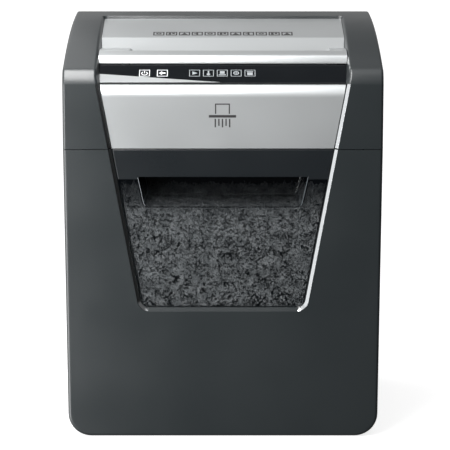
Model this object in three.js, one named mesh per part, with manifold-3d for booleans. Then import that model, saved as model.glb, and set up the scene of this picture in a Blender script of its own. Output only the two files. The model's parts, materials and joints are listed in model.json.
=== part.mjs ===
// Deskside cross-cut paper shredder with a pull-out bin, in millimetres.
// +X is right, -Y is the front, +Z is up; the origin is on the floor under the middle of the machine.
import * as THREE from "three";
import { mergeVertices } from "three/addons/utils/BufferGeometryUtils.js";
import Module from "manifold-3d";

const wasm = await Module();
wasm.setup();

// ---------------------------------------------------------------- driving dimensions
const DEPTH = 260; // front face to rear face
const FRONT = -DEPTH / 2;
const REAR = DEPTH / 2;
const HEIGHT = 450; // floor to the highest point of the top
const HALF_TOP = 176.3; // half width at the seam between head and bin
const HALF_BOTTOM = 173.8; // half width at the floor end
const REAR_DRAFT = 0.02; // share of the width lost from front to rear
const FOOT_HEIGHT = 1.2; // ground clearance
const SEAM = 330; // height of the joint between bin and head
const SEAM_GAP = 1;
const CORNER_R = 26; // rounding of the bottom corners, seen from the front
const WALL = 3;
const GAP = 0.3; // air between neighbouring pieces
const BEND_R = 14; // rounding from the front face into the top
const REAR_ROUND_R = 12; // rounding from the top into the rear face
const BASE_TOP = SEAM + 3.5; // top face of the head's base plate

// the slanted field in the middle of the front, which holds the fascia and the window
const FIELD_BOTTOM = 145.7;
const FIELD_HALF = 93.5; // half width at its bottom edge
const FIELD_SLOPE = 0.182; // growth of the half width with height
const FIELD_R = 14;
const FIELD_DEPTH = 4.3; // how far the field lies behind the front face, and the width of its 45 degree edge
const FIELD_Y = FRONT + FIELD_DEPTH;
const TRIM_DEEP = 1.6; // thickness of the bright edge strips, measured from front to rear
const BEND_TRIM_TOP = 402; // height where the strips end, at the front bend
const TOP_FIELD_HALF = 141.2; // half width of the field on the top
const TOP_FIELD_END = 82; // where the top field ends, towards the rear

// top curve of the head: it falls from the rear edge to the front bend
const TOP_CREST = 115;
const TOP_DROP = 31;
const TOP_RUN = 231;
const TOP_POWER = 2.2;
const BEND_START = FRONT + BEND_R; // where the top curve meets the front bend

// control panel facet, between the fascia and the throat bezel
const PANEL_TILT = THREE.MathUtils.degToRad(27);
const PANEL_FRONT = { y: -118, z: 402 };
const PANEL_LENGTH = 35.6;
const PANEL_HALF = 136;
const PANEL_THICK = 2.5;
const KEY = { width: 13.4, length: 14, thick: 3.2, clearance: 0.35 };
const ACCENT_HIGH = 15; // height of the light wedge at its left end
const POWER_X = -87.2;
const REVERSE_X = -67.5;
const LAMP_X = [-31.3, -16, -0.7, 14.6, 29.9];

// cutting unit
const SLOT_X = 7.5; // the paper entry is a little right of the middle
const SLOT_Y = -58;
const SLOT_HALF = 109.5; // half width of the paper entry
const SLOT_GAP_HALF = 3.7; // half of its opening from front to rear
const CUT_Z = 375;
const CUT_SPACING = 30; // between the two cutter axes
const FRONT_AXIS = { y: SLOT_Y - CUT_SPACING / 2, z: CUT_Z };
const REAR_AXIS = { y: SLOT_Y + CUT_SPACING / 2, z: CUT_Z };
const DISC_COUNT = 24;
const DISC_PITCH = 9.4;
const DISC_WIDTH = 4.3;
const DISC_TIP_R = 17;
const DISC_ROOT_R = 15;
const CORE_R = 12.5;
const JOURNAL_R = 8;
const PLATE_IN = 118; // side plates, distance of the inner face from the slot's middle
const PLATE_THICK = 3;
const BUSH_R = 12; // outside of the cutter bearings
const AXLE_R = 4; // tie bars and idler axle

// gears: involute stub teeth, 25 degree pressure angle
const PRESSURE = THREE.MathUtils.degToRad(25);
const ADDENDUM = 0.8;
const DEDENDUM = 1.05;
const BACKLASH = 0.22; // mm off each tooth's thickness at the pitch circle
const SYNC = { teeth: 15, module: 2, width: 11 };
const DRIVE = { teeth: 32, module: 2, width: 12 };
const IDLER_PINION = { teeth: 12, module: 2, width: 14 };
const IDLER_WHEEL = { teeth: 36, module: 1.5, width: 8 };
const MOTOR_PINION = { teeth: 11, module: 1.5, width: 10 };
const IDLER_ANGLE = THREE.MathUtils.degToRad(10); // direction from the rear cutter to the idler
const MOTOR_ANGLE = THREE.MathUtils.degToRad(4); // direction from the idler to the motor
const GEAR_X = PLATE_IN + PLATE_THICK + 3; // first gear face, from the slot's middle

// bin
const BIN_FRONT_DEPTH = 21;
const BIN_TOP = SEAM - SEAM_GAP;
const HANDLE_BOTTOM = 297.6;
const WINDOW_TOP = 294.4;
const WINDOW_THICK = 2.5;
const POCKET = { half: 94, bottom: 264, rise: 8, depth: 31, top: 317, wall: 2.2 };
const TUB = { half: 163.5, bottom: 9.5, top: 300, rear: 121, wall: 2.5 };
const HEAP_TOP = 282; // height of the paper behind the window
const HEAP_UNDER = 262; // its height under the cutters
const HEAP_REAR = 132; // its height at the rear wall

// screws that hold the head on the cabinet, before the housing's narrowing
const SCREWS = [
  [-160, -96],
  [160, -96],
  [-160, 112],
  [160, 112],
];
const SCREW_HOLE_R = 2.5;

const FEET = [
  [-118, -92],
  [118, -92],
  [-118, 104],
  [118, 104],
];
const GLAND = { x: 120, z: 352, r: 7 }; // where the supply cord enters, on the rear

// ---------------------------------------------------------------- materials
const material = (color, roughness, metalness = 0, extra = {}) =>
  new THREE.MeshStandardMaterial({ color, roughness, metalness, ...extra });
const shellGrey = material(0x3b3f42, 0.5);
const gloss = material(0x14171a, 0.12);
const silver = material(0xb9bcbe, 0.32, 0.9);
const chrome = material(0xd8dadb, 0.12, 1);
const blackPlastic = material(0x1a1c1e, 0.6);
const steel = material(0x8d9195, 0.35, 0.9);
const gearNylon = material(0xd9d4c4, 0.55);
const rubber = material(0x17181a, 0.85);
const smoked = material(0x2a2e30, 0.08, 0, { transparent: true, opacity: 0.5 });
const board = material(0x1f5a36, 0.6);
const lampLens = material(0xa9adb0, 0.3);
const paper = material(0xd6d6d2, 0.9);

// ---------------------------------------------------------------- solids from three.js shapes
const X_PRISM = new THREE.Matrix4().set(0, 0, 1, 0, 1, 0, 0, 0, 0, 1, 0, 0, 0, 0, 0, 1);
const Y_PRISM = new THREE.Matrix4().set(1, 0, 0, 0, 0, 0, -1, 0, 0, 1, 0, 0, 0, 0, 0, 1);

function solid(geometry) {
  const open = geometry.clone();
  open.deleteAttribute("normal");
  open.deleteAttribute("uv");
  const merged = mergeVertices(open, 1e-4);
  return new wasm.Manifold(
    new wasm.Mesh({
      numProp: 3,
      vertProperties: new Float32Array(merged.attributes.position.array),
      triVerts: new Uint32Array(merged.index.array),
    }),
  );
}

const block = (x0, x1, y0, y1, z0, z1) =>
  solid(
    new THREE.BoxGeometry(x1 - x0, y1 - y0, z1 - z0).translate(
      (x0 + x1) / 2,
      (y0 + y1) / 2,
      (z0 + z1) / 2,
    ),
  );

const extrude = (shape, depth, options = {}) =>
  new THREE.ExtrudeGeometry(shape, {
    depth,
    bevelEnabled: false,
    curveSegments: 6,
    steps: 1,
    ...options,
  });

// a shape drawn in (y, z), from x0 to x1
const prismX = (shape, x0, x1, options) =>
  solid(extrude(shape, x1 - x0, options).applyMatrix4(X_PRISM).translate(x0, 0, 0));

// a shape drawn in (x, z), from y0 to y1
const prismY = (shape, y0, y1, options) =>
  solid(extrude(shape, y1 - y0, options).applyMatrix4(Y_PRISM).translate(0, y1, 0));

// a shape drawn in (x, y), from z0 to z1
const prismZ = (shape, z0, z1, options) =>
  solid(extrude(shape, z1 - z0, options).translate(0, 0, z0));

// a round bar along X; its flats are clear of a hole with the same number of sides and RUNNING more radius
const RUNNING = 0.4;
const barX = (x0, x1, axis, r, sides = 20) =>
  solid(
    new THREE.CylinderGeometry(r, r, x1 - x0, sides)
      .rotateZ(Math.PI / 2)
      .translate((x0 + x1) / 2, axis.y, axis.z),
  );

const barZ = (x, y, z0, z1, r, sides = 16) =>
  solid(
    new THREE.CylinderGeometry(r, r, z1 - z0, sides)
      .rotateX(Math.PI / 2)
      .translate(x, y, (z0 + z1) / 2),
  );

const barY = (x, z, y0, y1, r, sides = 16) =>
  solid(new THREE.CylinderGeometry(r, r, y1 - y0, sides).translate(x, (y0 + y1) / 2, z));

const join = (solids) => solids.reduce((all, one) => all.add(one));
const cut = (from, ...tools) => tools.reduce((left, tool) => left.subtract(tool), from);

function geometryOf(made) {
  const mesh = made.getMesh();
  const points = new Float32Array(mesh.numVert * 3);
  for (let i = 0; i < mesh.numVert; i++) {
    points.set(mesh.vertProperties.subarray(i * mesh.numProp, i * mesh.numProp + 3), i * 3);
  }
  const geometry = new THREE.BufferGeometry();
  geometry.setAttribute("position", new THREE.BufferAttribute(points, 3));
  geometry.setIndex(new THREE.BufferAttribute(new Uint32Array(mesh.triVerts), 1));
  return geometry;
}

const machine = new THREE.Group();

function piece(name, made, finish, parent = machine) {
  const geometry = geometryOf(made);
  geometry.computeVertexNormals();
  const mesh = new THREE.Mesh(geometry, finish);
  mesh.name = name;
  parent.add(mesh);
  return mesh;
}

// the housing narrows a little from front to rear
const drafted = (x, y) => x * (1 - (REAR_DRAFT * (y - FRONT)) / DEPTH);

function housing(name, made, finish) {
  const mesh = piece(name, made, finish);
  const at = mesh.geometry.attributes.position;
  for (let i = 0; i < at.count; i++) at.setX(i, drafted(at.getX(i), at.getY(i)));
  mesh.geometry.computeVertexNormals();
  return mesh;
}

// ---------------------------------------------------------------- outlines
const topCurve = (y) =>
  HEIGHT - TOP_DROP * Math.pow(Math.max(0, TOP_CREST - y) / TOP_RUN, TOP_POWER);

const bodyHalf = (z) =>
  HALF_BOTTOM + ((HALF_TOP - HALF_BOTTOM) * (z - FOOT_HEIGHT)) / (SEAM - FOOT_HEIGHT);

// outline of the lower body seen from the front, moved inwards by inset
function bodyOutline(inset, top) {
  const r = CORNER_R - inset;
  const low = FOOT_HEIGHT + inset;
  const side = (z) => bodyHalf(z) - inset;
  const shape = new THREE.Shape();
  shape.moveTo(side(top), top);
  shape.lineTo(-side(top), top);
  shape.lineTo(-side(low + r), low + r);
  shape.absarc(-side(low + r) + r, low + r, r, Math.PI, 1.5 * Math.PI, false);
  shape.lineTo(side(low + r) - r, low);
  shape.absarc(side(low + r) - r, low + r, r, 1.5 * Math.PI, 2 * Math.PI, false);
  shape.closePath();
  return shape;
}

const FIELD_LEAN = Math.atan(FIELD_SLOPE);
const fieldHalf = (z, inset = 0) =>
  FIELD_HALF + FIELD_SLOPE * (z - FIELD_BOTTOM) - inset / Math.cos(FIELD_LEAN);

// outline of the slanted field seen from the front, moved inwards by inset
function fieldOutline(inset, bottom, top) {
  const shape = new THREE.Shape();
  const rounded = bottom === undefined;
  const low = rounded ? FIELD_BOTTOM + inset : bottom;
  shape.moveTo(fieldHalf(top, inset), top);
  shape.lineTo(-fieldHalf(top, inset), top);
  if (rounded) {
    const r = FIELD_R - inset;
    const turn = Math.PI / 2 - FIELD_LEAN; // the corner turns through this angle
    const cx = fieldHalf(low, inset) - r * Math.tan(turn / 2);
    shape.absarc(-cx, low + r, r, Math.PI + FIELD_LEAN, 1.5 * Math.PI, false);
    shape.absarc(cx, low + r, r, 1.5 * Math.PI, 2 * Math.PI - FIELD_LEAN, false);
  } else {
    shape.lineTo(-fieldHalf(low, inset), low);
    shape.lineTo(fieldHalf(low, inset), low);
  }
  shape.closePath();
  return shape;
}

// the field's hollow: its outline at the front face, narrowing by 45 degrees to FIELD_DEPTH behind it;
// a bevel is cut short at sharp corners, so the outline's upper ones lie far above the head
const FAR_ABOVE = 3000;
const fieldHollow = (back) =>
  prismY(fieldOutline(FIELD_DEPTH, undefined, FAR_ABOVE), FRONT - 20 + back, FRONT + back, {
    bevelEnabled: true,
    bevelThickness: FIELD_DEPTH,
    bevelSize: FIELD_DEPTH,
    bevelSegments: 1,
  });

// outline of the head seen from the right, moved inwards by inset; it is open-ended below
function headProfile(inset, bottom) {
  const bend = { y: BEND_START, z: topCurve(BEND_START) - BEND_R };
  const shape = new THREE.Shape();
  shape.moveTo(FRONT + inset, bottom);
  shape.lineTo(REAR - inset, bottom);
  const rear = { y: REAR - REAR_ROUND_R, z: HEIGHT - REAR_ROUND_R };
  shape.lineTo(REAR - inset, rear.z);
  shape.absarc(rear.y, rear.z, REAR_ROUND_R - inset, 0, Math.PI / 2, false);
  const steps = 9;
  for (let i = 0; i <= steps; i++) {
    const y = TOP_CREST + ((BEND_START + 6 - TOP_CREST) * i) / steps;
    shape.lineTo(y, topCurve(y) - inset);
  }
  shape.absarc(bend.y, bend.z, BEND_R - inset, THREE.MathUtils.degToRad(108), Math.PI, false);
  shape.closePath();
  return shape;
}

// plan of the head, with rounded vertical edges
function plan(half, y0, y1, frontR, rearR) {
  const shape = new THREE.Shape();
  shape.moveTo(-half + frontR, y0);
  shape.absarc(half - frontR, y0 + frontR, frontR, 1.5 * Math.PI, 2 * Math.PI, false);
  shape.absarc(half - rearR, y1 - rearR, rearR, 0, Math.PI / 2, false);
  shape.absarc(-half + rearR, y1 - rearR, rearR, Math.PI / 2, Math.PI, false);
  shape.absarc(-half + frontR, y0 + frontR, frontR, Math.PI, 1.5 * Math.PI, false);
  return shape;
}

const line = (points) => new THREE.Shape(points.map(([a, b]) => new THREE.Vector2(a, b)));

// a strip of even thickness under a polyline of (y, z) points
function sheetUnder(points, thick) {
  const under = points.map(([y, z], i) => {
    const before = points[Math.max(0, i - 1)];
    const after = points[Math.min(points.length - 1, i + 1)];
    const dy = after[0] - before[0];
    const dz = after[1] - before[1];
    const long = Math.hypot(dy, dz);
    return [y + (dz / long) * thick, z - (dy / long) * thick];
  });
  return line([...under, ...[...points].reverse()]);
}

// ---------------------------------------------------------------- cabinet
function cabinet() {
  const rearWall = REAR - WALL;
  const frontEdge = FRONT + BIN_FRONT_DEPTH + 1;
  const split = 132; // half width of the base plate
  const ring = cut(
    prismY(bodyOutline(0, BIN_TOP), frontEdge, rearWall - GAP),
    prismY(bodyOutline(WALL, BIN_TOP + 10), frontEdge - 10, REAR),
  );
  const high = BIN_TOP + 20;
  const left = ring.intersect(block(-200, -split - GAP, -200, 200, 0, high));
  const right = ring.intersect(block(split + GAP, 200, -200, 200, 0, high));
  const lip = 22; // width of the inward flange that carries the head
  const holes = SCREWS.map(([x, y]) => barZ(x, y, BIN_TOP - 10, BIN_TOP + 10, SCREW_HOLE_R, 10));
  const flange = (side) =>
    cut(
      block(
        Math.min(side * (HALF_TOP - lip), side * (HALF_TOP - 1)),
        Math.max(side * (HALF_TOP - lip), side * (HALF_TOP - 1)),
        frontEdge,
        rearWall - GAP,
        BIN_TOP - WALL,
        BIN_TOP,
      ),
      ...holes,
    );
  housing("side_panel_left", left.add(flange(-1)), shellGrey);
  housing("side_panel_right", right.add(flange(1)), shellGrey);

  let base = ring.intersect(block(-split, split, -200, 200, 0, high));
  for (const [x, y] of FEET) base = base.subtract(barZ(x, y, 0, 20, 4.4, 12));
  housing("base_plate", base, blackPlastic);

  const vents = Array.from({ length: 7 }, (_, i) =>
    block(-60, 60, rearWall - 5, REAR + 5, 262 + 7 * i, 265 + 7 * i),
  );
  housing("rear_panel", cut(prismY(bodyOutline(0, BIN_TOP), rearWall, REAR), ...vents), shellGrey);

  for (const [side, name] of [
    [-1, "runner_left"],
    [1, "runner_right"],
  ]) {
    const x = side * 112;
    const rail = block(x - 5, x + 5, -104, 118, FOOT_HEIGHT + WALL + GAP, TUB.bottom - GAP);
    piece(name, rail, blackPlastic);
  }
}

function feet() {
  const names = ["foot_front_left", "foot_front_right", "foot_rear_left", "foot_rear_right"];
  FEET.forEach(([x, y], i) => {
    const pad = barZ(drafted(x, y), y, 0, FOOT_HEIGHT - GAP, 11, 20);
    const stem = barZ(drafted(x, y), y, 0, FOOT_HEIGHT + WALL - GAP, 3.9, 12);
    piece(names[i], pad.add(stem), rubber);
  });
}

// ---------------------------------------------------------------- bin
function binFront() {
  const back = FRONT + BIN_FRONT_DEPTH;
  const skin = cut(
    prismY(bodyOutline(0, BIN_TOP), FRONT, back),
    prismY(bodyOutline(WALL, BIN_TOP - WALL), FRONT + WALL, back + 5),
  );
  const collarBack = FIELD_Y + WINDOW_THICK + 3;
  const collar = prismY(fieldOutline(-WALL, undefined, BIN_TOP), FRONT + 0.5, collarBack);
  const opening = prismY(fieldOutline(FIELD_DEPTH, undefined, BIN_TOP + 20), FRONT - 5, back + 5);
  const widened = fieldOutline(-WALL - 1, HANDLE_BOTTOM - 6, BIN_TOP + 20);
  const openTop = prismY(widened, FRONT + WALL + 6, back + 5);
  // the bright edge strips lie in a rebate, down to where the bottom corners end
  const rebate = fieldHollow(TRIM_DEEP + GAP).intersect(
    join([trimZone(-1, BIN_TOP + 30, GAP), trimZone(1, BIN_TOP + 30, GAP)]),
  );
  housing("bin_front", cut(skin.add(collar), fieldHollow(0), rebate, opening, openTop), shellGrey);
}

// the part of the front that one edge strip covers: outside the bottom edge's flat stretch
function trimZone(side, top, extra) {
  const inner = FIELD_HALF - FIELD_R + 4 - extra;
  return block(
    Math.min(side * inner, side * 180),
    Math.max(side * inner, side * 180),
    FRONT - 40,
    FRONT + 40,
    FIELD_BOTTOM - 20,
    top,
  );
}

// 45 degree strip along one side of the field, between two heights
function edgeStrip(side, low, high) {
  const shell = fieldHollow(TRIM_DEEP).subtract(fieldHollow(0));
  const zone = trimZone(side, high, 0).intersect(block(-180, 180, FRONT, 0, low, high));
  const inside = prismY(fieldOutline(FIELD_DEPTH, undefined, SEAM + 90), FRONT - 30, FRONT + 30);
  const outside = prismY(fieldOutline(GAP, undefined, SEAM + 90), FRONT - 30, FRONT + 30);
  return shell.intersect(zone).intersect(outside).subtract(inside);
}

function edgeStrips() {
  for (const [side, label] of [
    [-1, "left"],
    [1, "right"],
  ]) {
    housing(`bin_trim_${label}`, edgeStrip(side, 0, BIN_TOP), chrome);
    housing(`head_trim_${label}`, edgeStrip(side, SEAM + GAP, BEND_TRIM_TOP), chrome);
  }
}

// cross section of the finger pocket seen from the right: floor rising to the rear, high back wall
function pocketSection(grow, frontY) {
  const back = FIELD_Y + POCKET.depth + grow;
  const floor = (y) => POCKET.bottom - grow + (POCKET.rise * (y - FIELD_Y)) / POCKET.depth;
  return line([
    [frontY, floor(frontY)],
    [back, floor(back)],
    [back, POCKET.top + grow],
    [frontY, POCKET.top + grow],
  ]);
}

// the same pocket seen from the front, with sides parallel to the field's
const pocketFace = (grow) =>
  line([
    [-POCKET.half - 4 - grow, POCKET.top + grow + 1],
    [-POCKET.half + 6.7 - grow, POCKET.bottom - grow - 1],
    [POCKET.half - 6.7 + grow, POCKET.bottom - grow - 1],
    [POCKET.half + 4 + grow, POCKET.top + grow + 1],
  ]);

const pocket = (grow, frontY) =>
  prismX(pocketSection(grow, frontY), -150, 150).intersect(
    prismY(pocketFace(grow), FRONT - 10, FRONT + 80),
  );

function binWindow() {
  const slab = prismY(
    fieldOutline(FIELD_DEPTH + GAP, undefined, WINDOW_TOP),
    FIELD_Y,
    FIELD_Y + WINDOW_THICK,
  );
  const behindHandle = FIELD_Y + 3 + GAP;
  const scoop = pocket(POCKET.wall, FIELD_Y).subtract(
    block(-200, 200, FIELD_Y - 10, behindHandle, WINDOW_TOP, 400),
  );
  piece("bin_window", slab.add(scoop).subtract(pocket(0, FIELD_Y - 10)), smoked);
}

function pullHandle() {
  const top = BIN_TOP - GAP;
  const ends = WINDOW_TOP + GAP; // the outer ends reach down to the window's top edge
  const half = (z) => fieldHalf(z, FIELD_DEPTH + GAP);
  const face = line([
    [-half(top), top],
    [-half(ends), ends],
    [-POCKET.half, ends],
    [-POCKET.half, HANDLE_BOTTOM],
    [POCKET.half, HANDLE_BOTTOM],
    [POCKET.half, ends],
    [half(ends), ends],
    [half(top), top],
  ]);
  const lid = block(-112, 112, FIELD_Y + 1, -100, top - 3.6, top - 0.8);
  piece("pull_handle", prismY(face, FIELD_Y, FIELD_Y + 3).add(lid), gloss);
}

function binTub() {
  const front = FRONT + BIN_FRONT_DEPTH + GAP;
  const box = (inset, y0, y1, z0, z1) =>
    block(-TUB.half + inset, TUB.half - inset, y0, y1, z0, z1);
  const shell = cut(
    box(0, front, TUB.rear, TUB.bottom, TUB.top),
    box(TUB.wall, front - 10, TUB.rear - TUB.wall, TUB.bottom + TUB.wall, TUB.top + 10),
  );
  // the cabinet's rounded corners cut the tub's lower edges back
  const clear = prismY(bodyOutline(WALL + 1.5, TUB.top + 20), -200, 200);
  const inner = prismY(bodyOutline(WALL + 1.5 + TUB.wall, TUB.top + 30), -200, 200);
  const corner = clear
    .subtract(inner)
    .intersect(box(0, front, TUB.rear, TUB.bottom, TUB.top - 200));
  housing("bin_tub", shell.intersect(clear).add(corner), blackPlastic);
}

function shreds() {
  const inner = TUB.half - TUB.wall - 1.5;
  const back = TUB.rear - TUB.wall - 1.5;
  const front = FIELD_Y + WINDOW_THICK + 1.5;
  const side = line([
    [front, FIELD_BOTTOM + 12],
    [FRONT + BIN_FRONT_DEPTH + 2, FIELD_BOTTOM - 8],
    [FRONT + BIN_FRONT_DEPTH + 2, TUB.bottom + TUB.wall + 1.5],
    [back, TUB.bottom + TUB.wall + 1.5],
    [back, HEAP_REAR],
    [SLOT_Y + 10, HEAP_UNDER],
    [front, HEAP_TOP],
  ]);
  const heap = prismX(side, -inner, inner).intersect(
    prismY(bodyOutline(WALL + TUB.wall + 3.5, TUB.top), -200, 200),
  );
  // in the thickness of the front panel the paper only fills the window's width
  const nose = cut(
    block(-200, 200, -200, FRONT + BIN_FRONT_DEPTH + 2, 0, 400),
    prismY(fieldOutline(FIELD_DEPTH + 1.5, undefined, 400), -210, 0),
  );
  housing("paper_shreds", cut(heap, nose, pocket(POCKET.wall + 1.5, FIELD_Y - 10)), paper);
}

// ---------------------------------------------------------------- head
function headShell() {
  const outer = prismX(headProfile(0, SEAM), -200, 200).intersect(
    prismZ(plan(HALF_TOP, FRONT, REAR, 8, 14), SEAM - 5, HEIGHT + 5),
  );
  const hollow = prismX(headProfile(WALL, SEAM - 10), -200, 200).intersect(
    prismZ(plan(HALF_TOP - WALL, FRONT + WALL, REAR - WALL, 5, 11), SEAM - 10, HEIGHT + 5),
  );
  const topOpening = prismZ(
    plan(TOP_FIELD_HALF - FIELD_DEPTH, FRONT - 40, TOP_FIELD_END, 2, 8),
    BEND_TRIM_TOP,
    HEIGHT + 20,
  );
  const frontOpening = prismY(
    fieldOutline(FIELD_DEPTH, SEAM - 20, BEND_TRIM_TOP + 5),
    FRONT - 10,
    FRONT + 20,
  );
  const collar = prismY(fieldOutline(-WALL, SEAM, BEND_TRIM_TOP), FRONT + 0.5, FIELD_Y + 4);
  const rebate = fieldHollow(TRIM_DEEP + GAP).intersect(
    block(-200, 200, -200, 0, SEAM - 5, BEND_TRIM_TOP + GAP),
  );
  const gland = barY(GLAND.x, GLAND.z, REAR - 10, REAR + 5, GLAND.r + 0.4, 12);
  const shell = cut(outer.subtract(hollow).add(collar), rebate, frontOpening, topOpening, gland);
  housing("head_shell", shell, shellGrey);
}

// profile of the top field, front to rear: nose, flat lip, throat, rear slope
const NOSE = [
  [-86.2, 418.6],
  [-85, 423.4],
  [-83.4, 426.4],
  [-81, 427.6],
  [-66, 430.2],
];
const THROAT_FRONT = [-62.4, 412];
const THROAT_REAR = [-53.6, 417];
const REAR_SLOPE = [
  [-10, 437],
  [TOP_FIELD_END - 1, 446.2],
];
const BEZEL_HALF = TOP_FIELD_HALF - FIELD_DEPTH - 0.5;

// the space the sheets pass through
const entry = (low, high) =>
  block(
    SLOT_X - SLOT_HALF,
    SLOT_X + SLOT_HALF,
    SLOT_Y - SLOT_GAP_HALF,
    SLOT_Y + SLOT_GAP_HALF,
    low,
    high,
  );

function throatBezel() {
  const lip = prismX(sheetUnder([...NOSE, THROAT_FRONT], 2.4), -BEZEL_HALF, BEZEL_HALF);
  const rear = prismX(sheetUnder([THROAT_REAR, ...REAR_SLOPE], 2.4), -BEZEL_HALF, BEZEL_HALF);
  // beyond the ends of the slot the lip runs on to the rear slope
  const bridge = line([
    [-66, 427.6],
    [-66, 430.2],
    [-36, 427],
    [-36, 422.5],
    [-54, 416.4],
    [-62.4, 414],
  ]);
  const ends = prismX(bridge, -BEZEL_HALF, BEZEL_HALF).subtract(
    block(SLOT_X - SLOT_HALF, SLOT_X + SLOT_HALF, -90, -20, 380, HEIGHT),
  );
  const slot = entry(395, 422);
  housing("throat_bezel", join([lip, rear, ends]).subtract(slot), silver);
}

function frontFascia() {
  const bend = [];
  const r = 12;
  const centre = { y: FIELD_Y + r, z: PANEL_FRONT.z - 0.5 - r * Math.cos(PANEL_TILT) };
  for (let i = 0; i <= 5; i++) {
    const a = Math.PI - ((Math.PI / 2 - PANEL_TILT) * i) / 5;
    bend.push([centre.y + r * Math.cos(a), centre.z + r * Math.sin(a)]);
  }
  const sheet = prismX(sheetUnder([[FIELD_Y, SEAM + GAP], ...bend], 2), -160, 160);
  const width = prismY(fieldOutline(FIELD_DEPTH + GAP, SEAM, 420), -200, 0);
  piece("front_fascia", sheet.intersect(width), silver);
}

// the control panel and what is set in it are drawn flat, in (x, along the slope), and then tilted
const panelGroup = new THREE.Group();
panelGroup.position.set(0, PANEL_FRONT.y, PANEL_FRONT.z);
panelGroup.rotation.x = PANEL_TILT;

function controlPanel() {
  machine.add(panelGroup);
  const wedge = line([
    [-PANEL_HALF, 0],
    [0, 0],
    [-PANEL_HALF, ACCENT_HIGH],
  ]);
  const split = line([
    [-PANEL_HALF - 1, -1],
    [GAP * 9, -1],
    [GAP * 9, GAP],
    [-PANEL_HALF - 1, ACCENT_HIGH + 2 * GAP],
  ]);
  const middle = PANEL_LENGTH / 2;
  const hole = (x, grow) =>
    block(
      x - KEY.width / 2 - grow,
      x + KEY.width / 2 + grow,
      middle - KEY.length / 2 - grow,
      middle + KEY.length / 2 + grow,
      -20,
      20,
    );
  const slab = block(-PANEL_HALF, PANEL_HALF, 0, PANEL_LENGTH, -PANEL_THICK, 0);
  const lamps = LAMP_X.map((x) => hole(x, -1.2));
  piece(
    "control_panel",
    cut(
      slab,
      prismZ(split, -10, 10),
      hole(POWER_X, KEY.clearance),
      hole(REVERSE_X, KEY.clearance),
      ...lamps,
    ),
    gloss,
    panelGroup,
  );
  const accent = prismZ(wedge, -PANEL_THICK, 0).subtract(block(-1.6, 5, -5, 5, -9, 9)); // blunt tip
  piece("panel_accent", accent, silver, panelGroup);

  for (const [x, name] of [
    [POWER_X, "power_button"],
    [REVERSE_X, "reverse_button"],
  ]) {
    const cap = hole(x, 0).intersect(block(-200, 200, -50, 90, -KEY.thick, 0));
    piece(name, cap, gloss, panelGroup);
  }
  const guide = block(LAMP_X[0] - 7, LAMP_X[4] + 7, 4, PANEL_LENGTH - 4, -5.2, -PANEL_THICK - GAP);
  const pads = LAMP_X.map((x) =>
    hole(x, -1.2 - GAP).intersect(block(-200, 200, -50, 90, -4, -0.2)),
  );
  piece("indicator_light_guide", join([guide, ...pads]), lampLens, panelGroup);

  const pcb = block(-104, 44, 3, PANEL_LENGTH - 3, -10.6, -9);
  const switches = [POWER_X, REVERSE_X].map((x) =>
    block(x - 3, x + 3, middle - 3, middle + 3, -9.5, -KEY.thick - 1.2),
  );
  const leds = LAMP_X.map((x) => block(x - 2, x + 2, middle - 2, middle + 2, -9.5, -6));
  piece("control_board", join([pcb, ...switches, ...leds]), board, panelGroup);
}

function headBase() {
  const edge = plan(HALF_TOP - WALL - GAP, FIELD_Y + 8, REAR - WALL - GAP, 4, 10);
  const plate = prismZ(edge, BASE_TOP - 3, BASE_TOP);
  const outlet = block(SLOT_X - 113, SLOT_X + 113, -88, -28, SEAM - 10, SEAM + 20);
  const screwHoles = SCREWS.map(([x, y]) => barZ(x, y, SEAM - 5, SEAM + 10, SCREW_HOLE_R, 10));
  housing("head_base", cut(plate, outlet, ...screwHoles), blackPlastic);
}

function headScrews() {
  const names = ["front_left", "front_right", "rear_left", "rear_right"];
  SCREWS.forEach(([x, y], i) => {
    const at = drafted(x, y);
    const head = barZ(at, y, BASE_TOP + GAP, BASE_TOP + 3, 4.4, 12);
    const shank = barZ(at, y, BIN_TOP - WALL - 2, BASE_TOP + 1.5, 2, 8);
    const drive = barZ(at, y, BASE_TOP + 1.9, BASE_TOP + 5, 2, 6);
    piece(`head_screw_${names[i]}`, head.add(shank).subtract(drive), steel);
  });
}

// ---------------------------------------------------------------- cutting unit
// one tooth disc: sharp leading tip, sloping back
function discShape(turn) {
  const teeth = 4;
  const points = [];
  for (let i = 0; i < teeth; i++) {
    const at = turn + (2 * Math.PI * i) / teeth;
    points.push([DISC_TIP_R * Math.cos(at), DISC_TIP_R * Math.sin(at)]);
    const root = at + (2 * Math.PI * 0.16) / teeth;
    points.push([DISC_ROOT_R * Math.cos(root), DISC_ROOT_R * Math.sin(root)]);
  }
  return points;
}

function cutter(name, axis, offset, journalEnd, lead) {
  const first = SLOT_X - (DISC_COUNT * DISC_PITCH) / 2 + offset;
  const last = first + (DISC_COUNT - 1) * DISC_PITCH + DISC_WIDTH;
  const solids = [
    barX(first - 2.5, last + 2.5, axis, CORE_R, 12),
    barX(SLOT_X - PLATE_IN - PLATE_THICK - 17, journalEnd, axis, JOURNAL_R, 20),
  ];
  for (let i = 0; i < DISC_COUNT; i++) {
    const x = first + i * DISC_PITCH;
    const shape = line(
      discShape(lead * i * 0.21).map(([a, b]) => [axis.y + a, axis.z + (lead > 0 ? b : -b)]),
    );
    solids.push(prismX(shape, x, x + DISC_WIDTH));
  }
  piece(name, join(solids), steel);
}

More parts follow.
